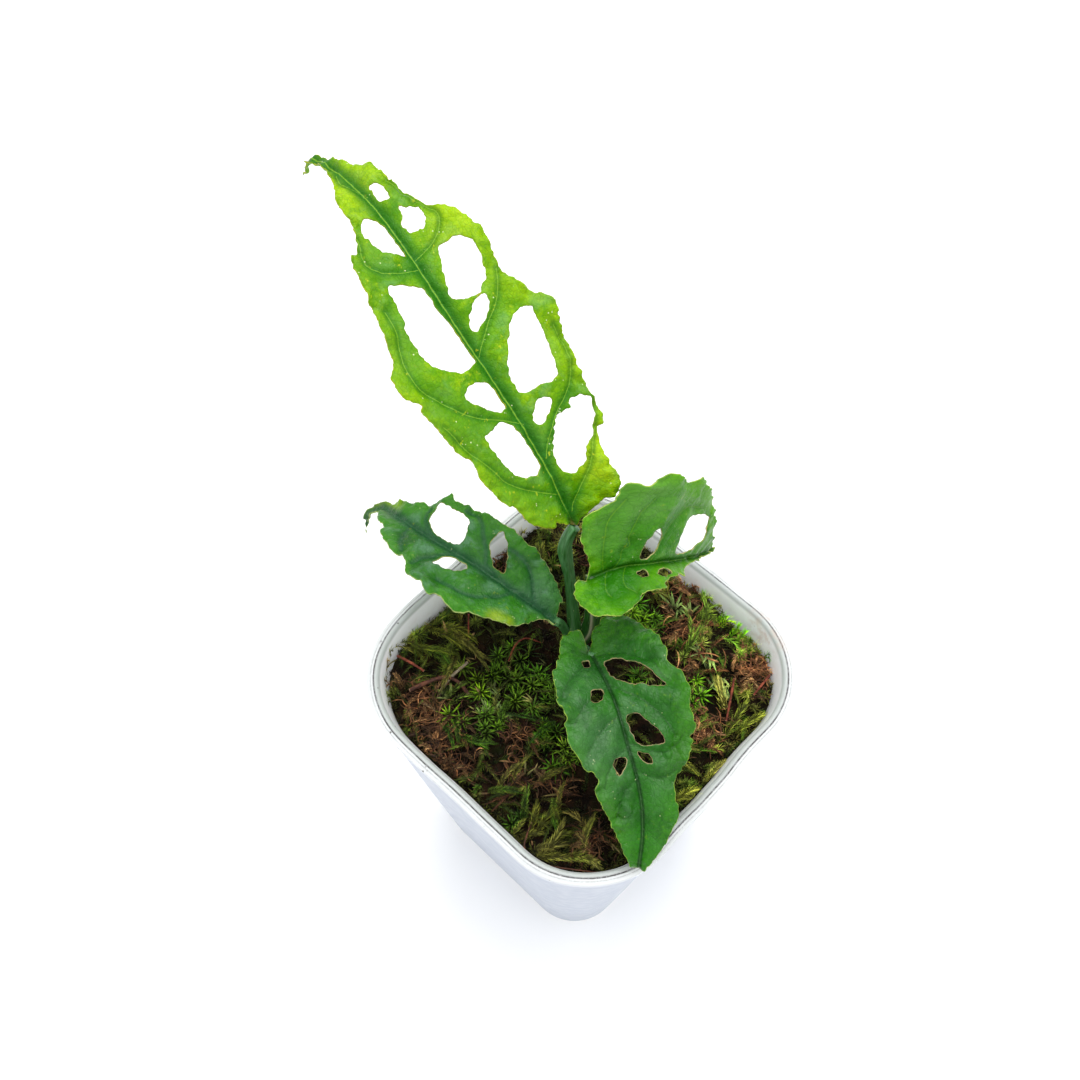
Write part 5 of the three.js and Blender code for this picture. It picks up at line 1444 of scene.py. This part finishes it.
def moss_pieces():
    rng = np.random.default_rng(2024)
    living = moss_paint("living moss", 0.55, 0.00005, (0.55, 0.58, 0.5, 1.0))
    dry = moss_paint("dry moss", 0.7, 0.0001, (0.5, 0.47, 0.45, 1.0))
    green = ("low", "stars", "tufts", "plumes", "small_plumes", "blades")
    brown = ("dead_plumes", "dry")
    heaps = {key: Heap() for key in green + brown}
    crowd(heaps, rng)
    for x, y, heading, length, wide, tints in PLUMES:
        count = 2
        feet = on_moss(np.array((x, y)) + rng.normal(0, 1.2, (count, 2)), 0.9)
        headings = np.radians(heading + rng.normal(0, 9, count))
        plumes(
            heaps["plumes"], rng, feet, headings, length * rng.uniform(0.75, 1.1, count),
            rng.uniform(2.4, 3.8, count), wide * rng.uniform(0.85, 1.1, count), tints, 0.16,
        )
    for x, y, reach, count in BLADE_PLACES:
        feet = on_moss(np.array((x, y)) + rng.normal(0, reach / 2.2, (count, 2)), 0.6)
        blades(heaps["blades"], rng, feet, rng.uniform(3.4, 6.4, count), BLADES, PALE_EDGE)
    feet = on_moss(spots(rng, 13, 2), 0.6)
    blades(heaps["blades"], rng, feet, rng.uniform(3, 5, len(feet)), BLADES + STRAWS, None, 3)
    for x, y, reach, count in DRY:
        fibres(heaps["dry"], rng, (x, y), reach, count // 2, BROWNS + DARKS + STRAWS[1:2])
        feet = on_moss(np.array((x, y)) + rng.normal(0, reach / 1.9, (count // 9, 2)), 1.0)
        feet[:, 2] += rng.uniform(-0.8, 1.2, len(feet))
        flakes(heaps["dry"], rng, feet[from_wall(feet[:, :2]) > 1], BROWNS + DARKS)
        n = max(2, count // 16)
        feet = on_moss(np.array((x, y)) + rng.normal(0, reach / 2.2, (n, 2)), 0.2)
        plumes(
            heaps["dead_plumes"], rng, feet, rng.uniform(0, 2 * math.pi, n), rng.uniform(4, 7, n),
            rng.uniform(1.2, 2.6, n), rng.uniform(1.0, 1.6, n), BROWNS + STRAWS, 0.14, 0.4, (0.8, 3.2),
        )
    feet = on_moss(spots(rng, 8, 1.2), 0.9)
    flakes(heaps["dry"], rng, feet, BROWNS + STRAWS)
    for key in green:
        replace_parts(heaps[key].piece("moss_" + key, living), "moss")
    for key in brown:
        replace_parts(heaps[key].piece("moss_" + key, dry), "dry_moss_left", "dry_moss_front", "dry_moss_right")


def bed_piece():
    """The dark matted bed under the shoots, near black as painted shade in the gaps between them: fine lumps
    over the part's relief, flat below.
    """
    half = wall_at(MOSS["level"])[0] - POT["wall"] - 0.35
    line = np.linspace(-half, half, 150)
    grid = np.stack(np.meshgrid(line, line), 2).reshape(-1, 2)
    # Points past the round corners slide in to the wall
    pull = np.minimum(from_wall(grid) - 0.1, 0)
    middle = np.sign(grid) * np.subtract(*wall_at(MOSS["level"]))
    grid = np.where(pull[:, None] < 0, grid + unit(middle - grid) * -pull[:, None], grid)
    top = moss_top(grid) - 0.9 + 0.55 * ripples(grid, 4.2, 21) + 0.3 * ripples(grid, 1.7, 22)
    n = len(line)
    points = np.vstack([np.c_[grid, top], np.c_[grid * 0.985, np.full(n * n, MOSS["bottom"])]])
    cell = (np.arange(n - 1)[:, None] * n + np.arange(n - 1)[None]).ravel()
    upper = np.c_[cell, cell + 1, cell + n + 1, cell + n]
    lower = upper[:, ::-1] + n * n
    run = np.arange(n - 1)
    loop = np.r_[run, run * n + n - 1, n * n - 1 - run, (n - 1 - run) * n]
    after = np.roll(loop, -1)
    wall = np.c_[loop, loop + n * n, after + n * n, after]
    paint = Paint("moss bed", Roughness=0.85, Specular_IOR_Level=0.1)
    where = paint.place()
    # Darker than the peat itself: near-black browns are painted shade in the gaps between the shoots
    paint.start(paint.fade(paint.noise(where, 260, 5, 0.65), 0.35, 0.65), (14, 10, 6), (44, 28, 16))
    paint.over(paint.fade(paint.noise(where, 120, 3, 0.6), 0.5, 0.7, 0.0, 0.8), (26, 34, 8))
    material = paint.finish(paint.bump(paint.noise(where, 1400, 5, 0.7), 0.0008, 0.9))
    piece = make_piece("moss_bed", points, [upper, lower, wall], material)
    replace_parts(piece, "moss")


moss_pieces()
bed_piece()

# The growing medium keeps its solid, with a bark and peat finish
paint = Paint("medium", Roughness=0.9, Specular_IOR_Level=0.2)
where = paint.place()
paint.start(paint.noise(where, 500, 5, 0.7), (34, 24, 18), (86, 62, 44))
paint.colour = paint.mix(0.45, paint.colour, paint.cells(where, 260, output="Color"), "MULTIPLY")
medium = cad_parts["growing_medium"]
medium.data.materials.clear()
medium.data.materials.append(paint.finish(paint.bump(paint.cells(where, 260), 0.002, 0.8)))

# Floor, light and camera
floor_mesh = bpy.data.meshes.new("floor")
FLOOR_REACH = 6.0
corners = [(FLOOR_REACH * x, FLOOR_REACH * y, 0) for x, y in ((-1, -1), (1, -1), (1, 1), (-1, 1))]
floor_mesh.from_pydata(corners, [], [(0, 1, 2, 3)])
floor = bpy.data.objects.new("floor", floor_mesh)
bpy.context.scene.collection.objects.link(floor)
paint = Paint("floor", Roughness=0.9)
paint.colour = paint.mix(paint.noise(paint.place(), 3, 2), (0.93, 0.93, 0.93, 1), (0.95, 0.95, 0.95, 1))
floor_mesh.materials.append(paint.finish())

# A white studio that is brightest overhead, a little towards +x
world = bpy.data.worlds.new("studio")
world.use_nodes = True
tree = world.node_tree
backdrop = tree.nodes["Background"]
backdrop.inputs["Color"].default_value = (0.98, 0.99, 1.0, 1.0)
way = tree.nodes.new("ShaderNodeTexCoord").outputs["Generated"]
along = tree.nodes.new("ShaderNodeVectorMath")
along.operation = "DOT_PRODUCT"
along.inputs[1].default_value = Vector((0.1, 0.0, 1.0)).normalized()
tree.links.new(way, along.inputs[0])
glow = tree.nodes.new("ShaderNodeMapRange")
glow.interpolation_type = "SMOOTHSTEP"
for key, value in {"From Min": 0.45, "From Max": 0.97, "To Min": 0.68, "To Max": 2.0}.items():
    glow.inputs[key].default_value = value
tree.links.new(along.outputs["Value"], glow.inputs["Value"])
tree.links.new(glow.outputs["Result"], backdrop.inputs["Strength"])
bpy.context.scene.world = world


def lamp(name, place, aim, size, power):
    """A round area light, in metres and watts."""
    light = bpy.data.lights.new(name, "AREA")
    light.shape = "DISK"
    light.size = size
    light.energy = power
    obj = bpy.data.objects.new(name, light)
    obj.location = place
    obj.rotation_euler = (Vector(aim) - Vector(place)).to_track_quat("-Z", "Y").to_euler()
    bpy.context.scene.collection.objects.link(obj)


lamp("softbox above", (-0.2, 0.3, 1.2), (0, 0, 0.1), 0.7, 6)

# The photo's camera, solved from the outlines of the pot's rim and base
camera_data = bpy.data.cameras.new("photo")
camera_data.sensor_width = 36
camera_data.lens = 40.52
camera_data.clip_start = 0.01
camera = bpy.data.objects.new("photo", camera_data)
right = Vector((0.72537, 0.68835, 0.0))
up = Vector((-0.59474, 0.62672, 0.50349))
back = Vector((0.34658, -0.36522, 0.86400))
turn = Matrix((right, up, back)).transposed().to_4x4()
camera.matrix_world = Matrix.Translation(Vector((86.435, -106.867, 416.823)) * MM) @ turn
bpy.context.scene.collection.objects.link(camera)
bpy.context.scene.camera = camera
bpy.context.scene.view_settings.view_transform = "Standard"
